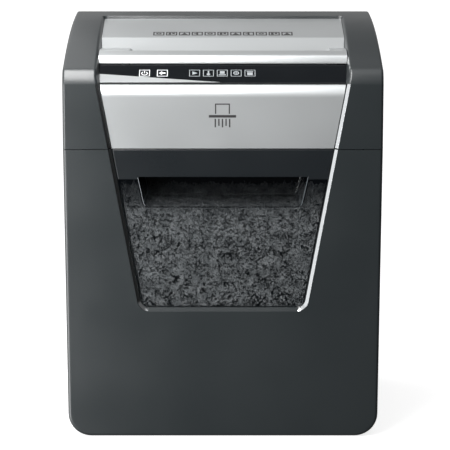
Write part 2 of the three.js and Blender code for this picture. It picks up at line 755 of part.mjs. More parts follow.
function comb(name, axis, side, offset) {
  const reach = axis.y + side * (CORE_R + 0.9);
  const inner = axis.y + side * (DISC_TIP_R + 1.2);
  const outer = inner + side * 5;
  const span = (a, b) => [Math.min(a, b), Math.max(a, b)];
  const [barLow, barHigh] = span(inner, outer);
  const [fingerLow, fingerHigh] = span(reach, outer);
  const solids = [
    block(SLOT_X - PLATE_IN + 0.5, SLOT_X + PLATE_IN - 0.5, barLow, barHigh, CUT_Z - 6, CUT_Z + 6),
  ];
  const first = SLOT_X - (DISC_COUNT * DISC_PITCH) / 2 + offset;
  const middle = DISC_WIDTH + (DISC_PITCH - DISC_WIDTH) / 2;
  for (let i = 0; i < DISC_COUNT - 1; i++) {
    const x = first + i * DISC_PITCH + middle;
    solids.push(block(x - 1.7, x + 1.7, fingerLow, fingerHigh, CUT_Z - 4, CUT_Z + 4));
  }
  piece(name, join(solids), blackPlastic);
}

const IDLER_AXIS = offsetAxis(REAR_AXIS, centreDistance(DRIVE, IDLER_PINION), IDLER_ANGLE);
const MOTOR_AXIS = offsetAxis(IDLER_AXIS, centreDistance(IDLER_WHEEL, MOTOR_PINION), MOTOR_ANGLE);

function centreDistance(a, b) {
  return ((a.teeth + b.teeth) * a.module) / 2;
}

function offsetAxis(from, distance, angle) {
  return { y: from.y + distance * Math.cos(angle), z: from.z + distance * Math.sin(angle) };
}

function sidePlates() {
  const outline = line([
    [-99, BASE_TOP + GAP],
    [80, BASE_TOP + GAP],
    [80, 424],
    [-24, 424],
    [-62, 402],
    [-99, 398],
  ]);
  for (const [side, label] of [
    [-1, "left"],
    [1, "right"],
  ]) {
    const inner = SLOT_X + side * PLATE_IN;
    const outer = inner + side * PLATE_THICK;
    const low = Math.min(inner, outer);
    const high = Math.max(inner, outer);
    const hole = (axis, r, sides) => barX(low - 5, high + 5, axis, r, sides);
    const holes = [
      hole(FRONT_AXIS, BUSH_R + 0.4, 20),
      hole(REAR_AXIS, BUSH_R + 0.4, 20),
      ...TIE_BARS.map((axis) => hole(axis, AXLE_R + 0.35, 12)),
    ];
    if (side > 0) holes.push(hole(IDLER_AXIS, AXLE_R + 0.35, 12), hole(MOTOR_AXIS, 8, 12));
    piece(`side_plate_${label}`, cut(prismX(outline, low, high), ...holes), steel);
    for (const [axis, place] of [
      [FRONT_AXIS, "front"],
      [REAR_AXIS, "rear"],
    ]) {
      const bush = barX(low - 1.5, high + 1.5, axis, BUSH_R, 20);
      const bore = barX(low - 5, high + 5, axis, JOURNAL_R + RUNNING, 20);
      piece(`bearing_${place}_${label}`, bush.subtract(bore), steel);
    }
  }
}

const TIE_BARS = [
  { y: -95, z: 346 },
  { y: 68, z: 346 },
];

function tieBars() {
  const reach = PLATE_IN + PLATE_THICK + 2;
  piece("tie_bar_front", barX(SLOT_X - reach, SLOT_X + reach, TIE_BARS[0], AXLE_R, 12), steel);
  piece("tie_bar_rear", barX(SLOT_X - reach, SLOT_X + reach, TIE_BARS[1], AXLE_R, 12), steel);
}

// ---------------------------------------------------------------- gears
const involute = (angle) => Math.tan(angle) - angle;

// outline of a gear with a tooth centred at angle `phase`, measured from +Y towards +Z
function gearOutline(gear, phase, axis, flankPoints) {
  const pitchR = (gear.teeth * gear.module) / 2;
  const baseR = pitchR * Math.cos(PRESSURE);
  const tipR = pitchR + ADDENDUM * gear.module;
  const rootR = pitchR - DEDENDUM * gear.module;
  const startR = Math.max(baseR, rootR);
  const halfTooth = Math.PI / (2 * gear.teeth) - BACKLASH / (2 * pitchR);
  const halfAt = (r) =>
    halfTooth + involute(PRESSURE) - involute(Math.acos(Math.min(1, baseR / r)));
  const radii = Array.from(
    { length: flankPoints },
    (_, i) => startR + ((tipR - startR) * i) / (flankPoints - 1),
  );
  const points = [];
  const add = (r, a) => points.push([axis.y + r * Math.cos(a), axis.z + r * Math.sin(a)]);
  for (let i = 0; i < gear.teeth; i++) {
    const centre = phase + (2 * Math.PI * i) / gear.teeth;
    if (rootR < startR - 0.05) add(rootR, centre - halfAt(startR));
    for (const r of radii) add(r, centre - halfAt(r));
    for (const r of [...radii].reverse()) add(r, centre + halfAt(r));
    if (rootR < startR - 0.05) add(rootR, centre + halfAt(startR));
  }
  return line(points);
}

const gearSolid = (gear, phase, axis, x, flankPoints) =>
  prismX(gearOutline(gear, phase, axis, flankPoints), x, x + gear.width);

// phase of the gear that meshes with another across the direction `angle`
const meshedPhase = (driver, driverPhase, driven, angle) =>
  angle + Math.PI + (Math.PI - (driverPhase - angle) * driver.teeth) / driven.teeth;

function gearTrain() {
  const left = SLOT_X - GEAR_X - SYNC.width;
  const right = SLOT_X + GEAR_X;
  const bore = (axis, r, sides = 20) => barX(SLOT_X - 170, SLOT_X + 170, axis, r, sides);
  const syncPhase = 0; // a tooth of the front wheel points straight at the rear one
  piece(
    "sync_gear_front",
    gearSolid(SYNC, syncPhase, FRONT_AXIS, left, 3).subtract(bore(FRONT_AXIS, JOURNAL_R + GAP)),
    steel,
  );
  piece(
    "sync_gear_rear",
    gearSolid(SYNC, meshedPhase(SYNC, syncPhase, SYNC, 0), REAR_AXIS, left, 3).subtract(
      bore(REAR_AXIS, JOURNAL_R + GAP),
    ),
    steel,
  );
  const drivePhase = IDLER_ANGLE;
  const webR = 24;
  const web = join([
    barX(right - 1, right + 3, REAR_AXIS, webR, 20),
    barX(right + DRIVE.width - 3, right + DRIVE.width + 1, REAR_AXIS, webR, 20),
  ]).subtract(bore(REAR_AXIS, 14));
  piece(
    "drive_gear",
    cut(gearSolid(DRIVE, drivePhase, REAR_AXIS, right, 2), web, bore(REAR_AXIS, JOURNAL_R + GAP)),
    steel,
  );
  const pinionPhase = meshedPhase(DRIVE, drivePhase, IDLER_PINION, IDLER_ANGLE);
  const wheelX = right + IDLER_PINION.width + 1;
  piece(
    "idler_gear",
    join([
      gearSolid(IDLER_PINION, pinionPhase, IDLER_AXIS, right, 3),
      barX(right + IDLER_PINION.width - 0.5, wheelX + 0.5, IDLER_AXIS, 7, 12),
      gearSolid(IDLER_WHEEL, MOTOR_ANGLE, IDLER_AXIS, wheelX, 2),
    ]).subtract(bore(IDLER_AXIS, AXLE_R + RUNNING, 12)),
    gearNylon,
  );
  piece("idler_axle", barX(SLOT_X + PLATE_IN - 3, wheelX + 10, IDLER_AXIS, AXLE_R, 12), steel);
  const motorPhase = meshedPhase(IDLER_WHEEL, MOTOR_ANGLE, MOTOR_PINION, MOTOR_ANGLE);
  const shaft = barX(SLOT_X - 12, wheelX + 9.5, MOTOR_AXIS, 3, 12);
  piece(
    "motor_pinion",
    gearSolid(MOTOR_PINION, motorPhase, MOTOR_AXIS, wheelX - 1, 3).add(shaft),
    steel,
  );
  return wheelX + 12;
}

function motor() {
  const r = 29;
  const face = SLOT_X + PLATE_IN - GAP;
  const can = barX(SLOT_X + 16, face, MOTOR_AXIS, r, 24);
  const boss = barX(SLOT_X + 12, face + 2, MOTOR_AXIS, 7, 12);
  const bore = barX(SLOT_X, face + 20, MOTOR_AXIS, 3.6, 12);
  piece("motor_housing", cut(can.add(boss), bore), steel);
  const blades = Array.from({ length: 8 }, (_, i) =>
    solid(
      new THREE.BoxGeometry(9, 17, 1.6)
        .translate(0, 15.5, 0)
        .rotateX((Math.PI * i) / 4)
        .translate(SLOT_X - 1, MOTOR_AXIS.y, MOTOR_AXIS.z),
    ),
  );
  const hub = barX(SLOT_X - 8, SLOT_X + 6, MOTOR_AXIS, 8, 12);
  const hubBore = barX(SLOT_X - 20, SLOT_X + 20, MOTOR_AXIS, 3 + GAP, 12);
  piece("motor_fan", join([hub, ...blades]).subtract(hubBore), blackPlastic);
}

function gearCover(outerX) {
  const low = { y: -90, z: SEAM + 5 };
  const back = 56;
  const x0 = SLOT_X + PLATE_IN + PLATE_THICK + GAP;
  const outline = (inset) =>
    line([
      [low.y + inset, low.z + inset],
      [back - inset, low.z + inset],
      [back - inset, 419 - inset],
      [-28, 419 - inset],
      [-52, 411.4 - inset],
      [low.y + inset, 402 - inset],
    ]);
  const cover = prismX(outline(0), x0, outerX + 2).subtract(
    prismX(outline(2), x0 - 5, outerX),
  );
  piece("gear_cover", cover, blackPlastic);
}

// ---------------------------------------------------------------- paper path and electrics
const GUIDE_LOW = 394;
const GUIDE_HIGH = 409.5;
const LEVER_AXIS = { y: -50, z: 399 };

function paperGuide() {
  const half = SLOT_HALF + 2.2;
  const deep = SLOT_GAP_HALF + 2.5;
  const walls = block(
    SLOT_X - half,
    SLOT_X + half,
    SLOT_Y - deep,
    SLOT_Y + deep,
    GUIDE_LOW,
    GUIDE_HIGH,
  );
  const notch = block(SLOT_X - 4, SLOT_X + 4, -56, -48, GUIDE_LOW - 5, GUIDE_LOW + 8.5);
  const ear = (x) => block(x - 1.2, x + 1.2, -52.5, -46.5, LEVER_AXIS.z - 3, LEVER_AXIS.z + 8);
  const pinHole = barX(SLOT_X - 20, SLOT_X + 20, LEVER_AXIS, 1.5 + RUNNING, 10);
  const ears = ear(SLOT_X - 6.4).add(ear(SLOT_X + 6.4)).subtract(pinHole);
  piece("paper_guide", cut(walls, entry(GUIDE_LOW - 5, GUIDE_HIGH + 5), notch).add(ears), blackPlastic);
}

function sensorLever() {
  const pin = barX(SLOT_X - 8.4, SLOT_X + 8.4, LEVER_AXIS, 1.5, 10);
  const hub = barX(SLOT_X - 2.4, SLOT_X + 2.4, LEVER_AXIS, 2.6, 10);
  const arm = solid(
    new THREE.BoxGeometry(3.4, 11, 2)
      .translate(0, -5.8, 0)
      .rotateX(THREE.MathUtils.degToRad(20))
      .translate(SLOT_X, LEVER_AXIS.y, LEVER_AXIS.z),
  );
  piece("paper_sensor_lever", join([pin, hub, arm]), blackPlastic);
}

// magnetic sensor that tells the controls whether the bin is in
function binSensor() {
  const foot = BASE_TOP + GAP;
  piece("bin_sensor", block(-96, -72, -108, -98, foot, foot + 9), blackPlastic);
}

function electrics() {
  const pcb = block(-104, -14, 108, 110, 342, 418);
  const transformer = block(-98, -66, 86, 108.5, 350, 384);
  const capacitor = barY(-40, 366, 80, 108.5, 12, 14);
  const heatSink = block(-94, -50, 94, 108.5, 394, 410);
  piece("power_board", join([pcb, transformer, capacitor, heatSink]), board);
  const at = drafted(GLAND.x, REAR);
  const collar = barY(at, GLAND.z, REAR - 8, REAR, GLAND.r, 12);
  const flange = barY(at, GLAND.z, REAR - 8, REAR - WALL - GAP, GLAND.r + 3, 12);
  const hole = barY(at, GLAND.z, REAR - 20, REAR + 5, 3.6, 10);
  piece("cord_gland", collar.add(flange).subtract(hole), rubber);
}

// ---------------------------------------------------------------- assembly
cabinet();
feet();
binFront();
binWindow();
pullHandle();
edgeStrips();
binTub();
shreds();
headShell();
throatBezel();
frontFascia();
controlPanel();
headBase();
headScrews();
cutter("front_cutter", FRONT_AXIS, 0.2, SLOT_X + PLATE_IN + PLATE_THICK + 2, 1);
cutter("rear_cutter", REAR_AXIS, DISC_PITCH / 2 + 0.2, SLOT_X + GEAR_X + DRIVE.width + 1.5, -1);
comb("stripper_comb_front", FRONT_AXIS, -1, 0.2);
comb("stripper_comb_rear", REAR_AXIS, 1, DISC_PITCH / 2 + 0.2);
sidePlates();
tieBars();
gearCover(gearTrain());
motor();
paperGuide();
sensorLever();
binSensor();
electrics();

export default machine;
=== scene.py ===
import json
import math
import random

import bpy
import bmesh
from mathutils import Matrix, Vector

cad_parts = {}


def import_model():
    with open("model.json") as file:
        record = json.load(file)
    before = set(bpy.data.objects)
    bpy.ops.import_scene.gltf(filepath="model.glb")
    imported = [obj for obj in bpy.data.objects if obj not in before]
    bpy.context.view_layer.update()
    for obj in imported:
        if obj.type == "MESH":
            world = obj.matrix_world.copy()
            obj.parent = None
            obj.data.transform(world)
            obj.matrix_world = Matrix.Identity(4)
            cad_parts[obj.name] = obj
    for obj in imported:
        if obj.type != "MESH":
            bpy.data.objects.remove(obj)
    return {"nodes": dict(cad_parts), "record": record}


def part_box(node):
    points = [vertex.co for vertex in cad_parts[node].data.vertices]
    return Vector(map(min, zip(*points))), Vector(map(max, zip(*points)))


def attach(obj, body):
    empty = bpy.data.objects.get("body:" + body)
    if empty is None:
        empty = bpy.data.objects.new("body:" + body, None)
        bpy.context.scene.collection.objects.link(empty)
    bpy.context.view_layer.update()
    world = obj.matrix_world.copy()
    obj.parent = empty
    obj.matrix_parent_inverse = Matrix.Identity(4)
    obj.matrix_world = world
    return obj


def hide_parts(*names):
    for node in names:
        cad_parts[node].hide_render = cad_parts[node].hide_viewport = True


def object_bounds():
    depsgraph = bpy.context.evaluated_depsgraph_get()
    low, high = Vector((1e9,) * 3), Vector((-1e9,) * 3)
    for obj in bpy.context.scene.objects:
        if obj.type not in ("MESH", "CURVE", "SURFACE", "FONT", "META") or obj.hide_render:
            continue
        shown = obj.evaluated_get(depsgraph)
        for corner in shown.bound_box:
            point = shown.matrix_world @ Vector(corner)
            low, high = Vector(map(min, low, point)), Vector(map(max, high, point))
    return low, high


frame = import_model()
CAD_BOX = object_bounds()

# Outlines are drawn in millimetres, in the frame's axes: +X right, -Y front, +Z up.
MM = 0.001
LOW, HIGH = CAD_BOX
FRONT = LOW[1] / MM
REAR = HIGH[1] / MM
DEPTH = REAR - FRONT
TOP = HIGH[2] / MM
HALF_TOP = 176.3  # half width at the seam between head and bin
HALF_BOTTOM = 173.8
FLOOR_GAP = 1.2
BIN_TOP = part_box("bin_front")[1].z / MM
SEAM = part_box("head_shell")[0].z / MM
REAR_DRAFT = 0.02

# the slanted field of the front
FIELD_BOTTOM = 145.7
FIELD_HALF = 93.5
FIELD_SLOPE = 0.182
FIELD_R = 14.0
EDGE = 4.3  # width and depth of the field's 45 degree edge
FIELD_Y = FRONT + EDGE
FIELD_LEAN = math.atan(FIELD_SLOPE)
BEVEL_DEEP = 1.6  # depth of the shallow bevel under the window
STRIP_END = 83.5  # the bright strips end here, in the field's bottom corners
TOP_HALF = 141.8  # half width of the field on the top
TOP_END = 82.0  # rear end of the field on the top
BEND_R = 14.0
BEND_Z = 397.0  # where the front of the head starts to bend back
BEND_HIGH = 22.45  # the bend is an ellipse, taller than deep

PANEL_TILT = math.radians(27)
PANEL_LOW = (-118.0, 402.0)  # front edge of the control panel, as (y, z)
PANEL_LENGTH = 35.6
PANEL_HALF = 136.1

TOP_R = 12.0  # rounding where the top meets the rear
THROAT_HALF = 138.0  # half width of the throat surround
SLOPE_LOW = (-9.0, 437.1)  # lower edge of the slope behind the paper entry, as (y, z)
SLOPE_HIGH = (79.5, 446.2)


# ---- node helpers ----
class Nodes:
    """Short calls for building a shader tree."""

    def __init__(self, tree):
        self.tree = tree

    def add(self, kind, **inputs):
        node = self.tree.nodes.new(kind)
        for key, value in inputs.items():
            self.feed(node.inputs[key.replace("_", " ")], value)
        return node

    def feed(self, socket, value):
        if isinstance(value, bpy.types.NodeSocket):
            self.tree.links.new(value, socket)
        else:
            socket.default_value = value

    def math(self, operation, a, b=0.0):
        node = self.tree.nodes.new("ShaderNodeMath")
        node.operation = operation
        self.feed(node.inputs[0], a)
        self.feed(node.inputs[1], b)
        return node.outputs[0]

    def ramp(self, value, low, high, out_low=0.0, out_high=1.0):
        node = self.tree.nodes.new("ShaderNodeMapRange")
        node.interpolation_type = "SMOOTHSTEP"
        for index, item in enumerate((value, low, high, out_low, out_high)):
            self.feed(node.inputs[index], item)
        return node.outputs[0]

    def noise(self, where, scale, detail=2.0, rough=0.5):
        node = self.add("ShaderNodeTexNoise", Vector=where)
        node.inputs["Scale"].default_value = scale
        node.inputs["Detail"].default_value = detail
        node.inputs["Roughness"].default_value = rough
        return node.outputs["Fac"]

    def blend(self, factor, a, b):
        node = self.tree.nodes.new("ShaderNodeMix")
        node.data_type = "RGBA"
        self.feed(node.inputs["Factor"], factor)
        self.feed(node.inputs[6], a)
        self.feed(node.inputs[7], b)
        return node.outputs[2]


def rgb(red, green, blue):
    """A linear colour from one in 8-bit sRGB."""
    def line(c):
        c /= 255
        return c / 12.92 if c <= 0.04045 else ((c + 0.055) / 1.055) ** 2.4

    return (line(red), line(green), line(blue), 1.0)


def shade(color, factor):
    return tuple(c * factor for c in color[:3]) + (1.0,)


def new_material(name):
    """An empty material, its node builder and the object's coordinates."""
    material = bpy.data.materials.new(name)
    material.use_nodes = True
    material.node_tree.nodes.clear()
    n = Nodes(material.node_tree)
    return material, n, n.add("ShaderNodeTexCoord").outputs["Object"]


def surface(name, color, rough, metal=0.0, grain=1400.0, bump=0.02, vary=0.06, stretch=None, **fixed):
    """A moulded or metal surface: fine grain in the bump, and slight drift of colour and roughness."""
    material, n, where = new_material(name)
    drift = n.noise(where, 9.0, 3.0)
    if stretch:
        mapping = n.add("ShaderNodeMapping", Vector=where)
        mapping.inputs["Scale"].default_value = stretch
        where = mapping.outputs[0]
    grains = n.noise(where, grain, 3.0, 0.6)
    shader = n.add("ShaderNodeBsdfPrincipled")
    n.feed(shader.inputs["Base Color"], n.blend(drift, shade(color, 1 - vary), shade(color, 1 + vary)))
    slow = n.ramp(drift, 0.3, 0.7, rough - 0.03, rough + 0.03)
    fine = n.ramp(grains, 0.2, 0.8, -0.02, 0.02)
    n.feed(shader.inputs["Roughness"], n.math("ADD", slow, fine))
    shader.inputs["Metallic"].default_value = metal
    for key, value in fixed.items():
        shader.inputs[key.replace("_", " ")].default_value = value
    if bump:
        relief = n.add("ShaderNodeBump", Height=grains)
        relief.inputs["Strength"].default_value = bump
        relief.inputs["Distance"].default_value = 0.0004
        n.feed(shader.inputs["Normal"], relief.outputs[0])
    out = n.add("ShaderNodeOutputMaterial", Surface=shader.outputs[0])
    out.is_active_output = True
    return material


def shred_paper():
    """Office paper: mostly white, with printed grey lines and the odd darker strip."""
    material, n, where = new_material("shredded_paper")
    print_lines = n.ramp(n.noise(where, 420.0, 2.0), 0.56, 0.62)
    tint = n.ramp(n.noise(where, 95.0, 3.0), 0.35, 0.7)
    paper = n.blend(tint, rgb(176, 182, 185), rgb(222, 228, 231))
    printed = n.blend(n.math("MULTIPLY", print_lines, 0.5), paper, rgb(84, 88, 92))
    shader = n.add("ShaderNodeBsdfPrincipled", Base_Color=printed)
    n.feed(shader.inputs["Roughness"], n.ramp(tint, 0.0, 1.0, 0.95, 0.8))
    relief = n.add("ShaderNodeBump", Height=n.noise(where, 900.0, 2.0))
    relief.inputs["Strength"].default_value = 0.15
    relief.inputs["Distance"].default_value = 0.0003
    n.feed(shader.inputs["Normal"], relief.outputs[0])
    n.add("ShaderNodeOutputMaterial", Surface=shader.outputs[0])
    return material


def smoked_painted_shade():
    """Tinted acrylic, clearest over the paper and darker towards the handle; the darkening is painted shade,
    standing in for the shadow under the bar.
    """
    material = surface("smoked_acrylic_painted_shade", rgb(7, 9, 12), 0.05, bump=0.0, vary=0.02, Specular_IOR_Level=0.2)
    n = Nodes(material.node_tree)
    place = n.add("ShaderNodeSeparateXYZ", Vector=n.add("ShaderNodeTexCoord").outputs["Object"])
    shader = next(node for node in n.tree.nodes if node.type == "BSDF_PRINCIPLED")
    low, high = 0.245, 0.29  # heights in metres over which the painted shade under the handle deepens
    # alpha rises with height: painted shade under the handle, not a change in the acrylic's tint
    n.feed(shader.inputs["Alpha"], n.ramp(place.outputs["Z"], low, high, 0.375, 0.6))
    return material


SHELL = surface("charcoal_shell", rgb(33, 38, 40), 0.32, bump=0.03, Specular_IOR_Level=0.8)
BLACK = surface("black_moulding", rgb(30, 32, 34), 0.55, bump=0.08, grain=900.0)
BAR = surface("satin_black", rgb(21, 25, 28), 0.3, bump=0.015)
GLOSS = surface("gloss_black", rgb(13, 16, 19), 0.06, bump=0.0, vary=0.03)
SILVER = surface("satin_silver", rgb(200, 203, 204), 0.34, metal=0.7, bump=0.02, vary=0.015)
CHROME = surface("bright_edge", rgb(205, 208, 210), 0.1, metal=1.0, bump=0.0, vary=0.01)
TURNED = (1.0, 14.0, 14.0)  # stretches the grain round a shaft
STEEL = surface("machined_steel", rgb(150, 153, 156), 0.3, metal=1.0, grain=500.0, stretch=TURNED, bump=0.15)
PLATED = surface("zinc_plated_steel", rgb(168, 170, 168), 0.36, metal=1.0, grain=160.0, bump=0.04, vary=0.12)
NYLON = surface("natural_nylon", rgb(222, 217, 202), 0.45, bump=0.05, Subsurface_Weight=0.08)
RUBBER = surface("foot_rubber", rgb(26, 26, 28), 0.85, grain=700.0, bump=0.25)
BOARD = surface("circuit_board", rgb(26, 86, 52), 0.4, grain=300.0, bump=0.3, vary=0.2)
LENS = surface("frosted_lens", rgb(150, 154, 158), 0.3, bump=0.01)
WHITE_INK = surface("white_print", rgb(226, 228, 230), 0.5, bump=0.0, vary=0.02)
GREY_INK = surface("grey_print", rgb(150, 154, 157), 0.5, bump=0.0, vary=0.02)
DARK_INK = surface("dark_print", rgb(40, 39, 40), 0.5, bump=0.0, vary=0.02)
# the window's tint, with painted shade towards the handle
SMOKED_PANE_PAINTED_SHADE = smoked_painted_shade()
# light grey beads that paint the highlights on the pocket's polished edges
PAINTED_EDGE_HIGHLIGHT = surface("painted_edge_highlight", rgb(84, 90, 94), 0.25, bump=0.0, vary=0.04)
PAPER = shred_paper()


# ---- mesh helpers ----
def smooth_group():
    """A modifier group: faces shade smooth, and edges sharper than 32 degrees stay crisp."""
    group = bpy.data.node_groups.new("smooth_by_angle", "GeometryNodeTree")
    group.interface.new_socket("Geometry", in_out="INPUT", socket_type="NodeSocketGeometry")
    group.interface.new_socket("Geometry", in_out="OUTPUT", socket_type="NodeSocketGeometry")
    nodes, links = group.nodes, group.links
    start, end = nodes.new("NodeGroupInput"), nodes.new("NodeGroupOutput")
    angle = nodes.new("GeometryNodeInputMeshEdgeAngle")
    below = nodes.new("FunctionNodeCompare")
    below.operation = "LESS_THAN"
    below.inputs[1].default_value = math.radians(32)
    faces, edges = nodes.new("GeometryNodeSetShadeSmooth"), nodes.new("GeometryNodeSetShadeSmooth")
    edges.domain = "EDGE"
    links.new(angle.outputs[0], below.inputs[0])
    links.new(below.outputs[0], edges.inputs["Shade Smooth"])
    links.new(start.outputs[0], faces.inputs[0])
    links.new(faces.outputs[0], edges.inputs[0])
    links.new(edges.outputs[0], end.inputs[0])
    return group


SMOOTH = smooth_group()


def finish_mesh(obj, thick=0.0, bevel=0.0, segments=2, angle=35, weld=0.0):
    if weld:
        modifier = obj.modifiers.new("weld", "WELD")
        modifier.merge_threshold = weld * MM
        flat = obj.modifiers.new("planar", "DECIMATE")
        flat.decimate_type = "DISSOLVE"
        flat.angle_limit = math.radians(1.5)
    if thick:
        modifier = obj.modifiers.new("wall", "SOLIDIFY")
        modifier.thickness = thick * MM
        modifier.offset = -1
        modifier.use_quality_normals = True
    if bevel:
        modifier = obj.modifiers.new("edge", "BEVEL")
        modifier.width = bevel * MM
        modifier.segments = segments
        modifier.limit_method = "ANGLE"
        modifier.angle_limit = math.radians(angle)
        modifier.use_clamp_overlap = True
    modifier = obj.modifiers.new("smooth", "NODES")
    modifier.node_group = SMOOTH
    obj.modifiers.new("weighted", "WEIGHTED_NORMAL").keep_sharp = True


def mesh_object(name, bm, scale=MM):
    """A new object in the scene from mesh code drawn in millimetres."""
    bmesh.ops.scale(bm, vec=(scale, scale, scale), verts=bm.verts)
    mesh = bpy.data.meshes.new(name)
    bm.to_mesh(mesh)
    bm.free()
    obj = bpy.data.objects.new(name, mesh)
    bpy.context.scene.collection.objects.link(obj)
    return obj


def piece(name, bm, material, body, slot, replaces=(), **finish):
    """A finished piece of the object, riding on a body."""
    obj = mesh_object(name, bm)
    obj.data.materials.append(material)
    finish_mesh(obj, **finish)
    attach(obj, body)
    if replaces:
        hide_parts(*replaces)
    return obj


def solid(name, bm, *details, **finish):
    """A piece whose faces are first turned to point out."""
    bmesh.ops.recalc_face_normals(bm, faces=bm.faces)
    return piece(name, bm, *details, **finish)


def bridge(bm, lines):
    """Faces between rows of vertices."""
    for a, b in zip(lines, lines[1:]):
        for k in range(len(a) - 1):
            bm.faces.new((a[k], a[k + 1], b[k + 1], b[k]))


def grid(bm, rows, closed=False, skip=None):
    """Faces between rows of points; row by row, the outside is on the right-hand side."""
    verts = [[bm.verts.new(p) for p in row] for row in rows]
    for i in range(len(rows) - 1):
        count = len(rows[i])
        for j in range(count if closed else count - 1):
            if skip and skip(i, j):
                continue
            k = (j + 1) % count
            bm.faces.new((verts[i][j], verts[i][k], verts[i + 1][k], verts[i + 1][j]))
    return verts


def prism(bm, loops):
    """A closed tube through loops of points, with flat ends."""
    verts = grid(bm, loops, closed=True)
    bm.faces.new(list(reversed(verts[0])))
    bm.faces.new(verts[-1])


def arc(cy, cz, r, start, end, steps):
    """Points of an arc in (y, z); angles in degrees from +Y towards +Z."""
    return [
        (cy + r * math.cos(math.radians(a)), cz + r * math.sin(math.radians(a)))
        for a in (start + (end - start) * i / steps for i in range(steps + 1))
    ]


def drafted(x, y):
    """The housing narrows a little from front to rear."""
    return x * (1 - REAR_DRAFT * (y - FRONT) / DEPTH)


def top_curve(y):
    return TOP - 31 * (max(0.0, 115 - y) / 231) ** 2.2


def field_half(z, inset=0.0):
    return FIELD_HALF + FIELD_SLOPE * (z - FIELD_BOTTOM) - inset / math.cos(FIELD_LEAN)


def field_side(side, inset, top, end_x=None):
    """Points down one side of the field and round its bottom corner, as (x, z).

    They stop where the bright strip ends, or go on along the bottom to end_x."""
    low = FIELD_BOTTOM + inset
    r = FIELD_R - inset
    cx = field_half(low, inset) - r * math.tan((math.pi / 2 - FIELD_LEAN) / 2)
    points = [(field_half(top, inset), top)]
    for i in range(1, 6):
        z = top + (low + r - top) * i / 6
        points.append((field_half(z, inset), z))
    stop = -math.acos((STRIP_END - cx) / r)
    angles = [-FIELD_LEAN + (stop + FIELD_LEAN) * i / 9 for i in range(10)]
    if end_x is not None:
        past = -math.acos((STRIP_END - 0.3 - cx) / r)
        angles += [past, -math.pi / 2]
    points += [(cx + r * math.cos(a), low + r + r * math.sin(a)) for a in angles]
    if end_x is not None:
        points.append((end_x, low))
    return [(side * x, z) for x, z in points]


def body_half(z):
    return HALF_BOTTOM + (HALF_TOP - HALF_BOTTOM) * (z - FLOOR_GAP) / (BIN_TOP - FLOOR_GAP)


def body_outline(inset, top):
    """The lower body's outline from the front, from the top right corner down and round to the top left."""
    r = 26 - inset
    low = FLOOR_GAP + inset
    right = []
    for i in range(7):
        z = top + (low + r - top) * i / 6
        right.append((body_half(z) - inset, z))
    cx = body_half(low + r) - inset - r
    for i in range(1, 13):
        a = -math.pi / 2 * i / 12
        right.append((cx + r * math.cos(a), low + r + r * math.sin(a)))
    return right + [(-x, z) for x, z in reversed(right)]


# ---- head ----
ROUND = 3.0  # rounding of the housing's outer edges
STRIP_TOP = 402.0  # the bright strips end here, at the bend
LIP_WIDE = 3.0  # rounding of the field's edge above the strips
LIP_DEEP = 2.4
LIP_REAR = 0.7  # rounding of the field's rear edge
WALL_LEAN = 0.24  # how far the field's side walls lean inwards with depth


def head_rows():
    """The head's profile, from the front over the top to the rear, as (y, z, normal y, normal z)."""
    rows = [(FRONT + 0.3, SEAM - 0.5, -1, 0), (FRONT, SEAM - 0.2, -1, 0)]
    rows += [(FRONT, z, -1, 0) for z in (345, 360, 375, 388, BEND_Z)]
    turns = [math.asin((z - BEND_Z) / BEND_HIGH) for z in (STRIP_TOP, STRIP_TOP + 0.2)]
    turns += [math.radians(71 * (k + 3) / 14) for k in range(12)]
    for turn in turns:
        across, up = math.cos(turn) / BEND_R, math.sin(turn) / BEND_HIGH
        long = math.hypot(across, up)
        y, z = FRONT + BEND_R * (1 - math.cos(turn)), BEND_Z + BEND_HIGH * math.sin(turn)
        rows.append((y, z, -across / long, up / long))
    ys = [-112 + 8 * i for i in range(23)] + [66, 71, 75, 77.5, 80, 82, 83.2, 83.5, 90, 98, 107, 115]
    for y in ys:
        slope = top_curve(y + 0.5) - top_curve(y - 0.5)
        long = math.hypot(1, slope)
        rows.append((y, top_curve(y), -slope / long, 1 / long))
    for y, z in arc(REAR - TOP_R, TOP - TOP_R, TOP_R, 88, 0, 8):
        rows.append((y, z, (y - REAR + TOP_R) / TOP_R, (z - TOP + TOP_R) / TOP_R))
    rows += [(REAR, z, 1, 0) for z in (420, 390, 360, SEAM - 0.2)]
    rows.append((REAR - 0.3, SEAM - 0.5, 1, 0))
    return rows


CORNER = 7.0  # rounding of the top field's rear corners


def field_edge(y, z):
    """Half width of the field at its outer edge, on the front, the bend or the top."""
    start = TOP_END - CORNER
    if y <= start:
        return min(field_half(z), TOP_HALF)
    return TOP_HALF - CORNER + math.sqrt(max(0.0, CORNER ** 2 - (y - start) ** 2))


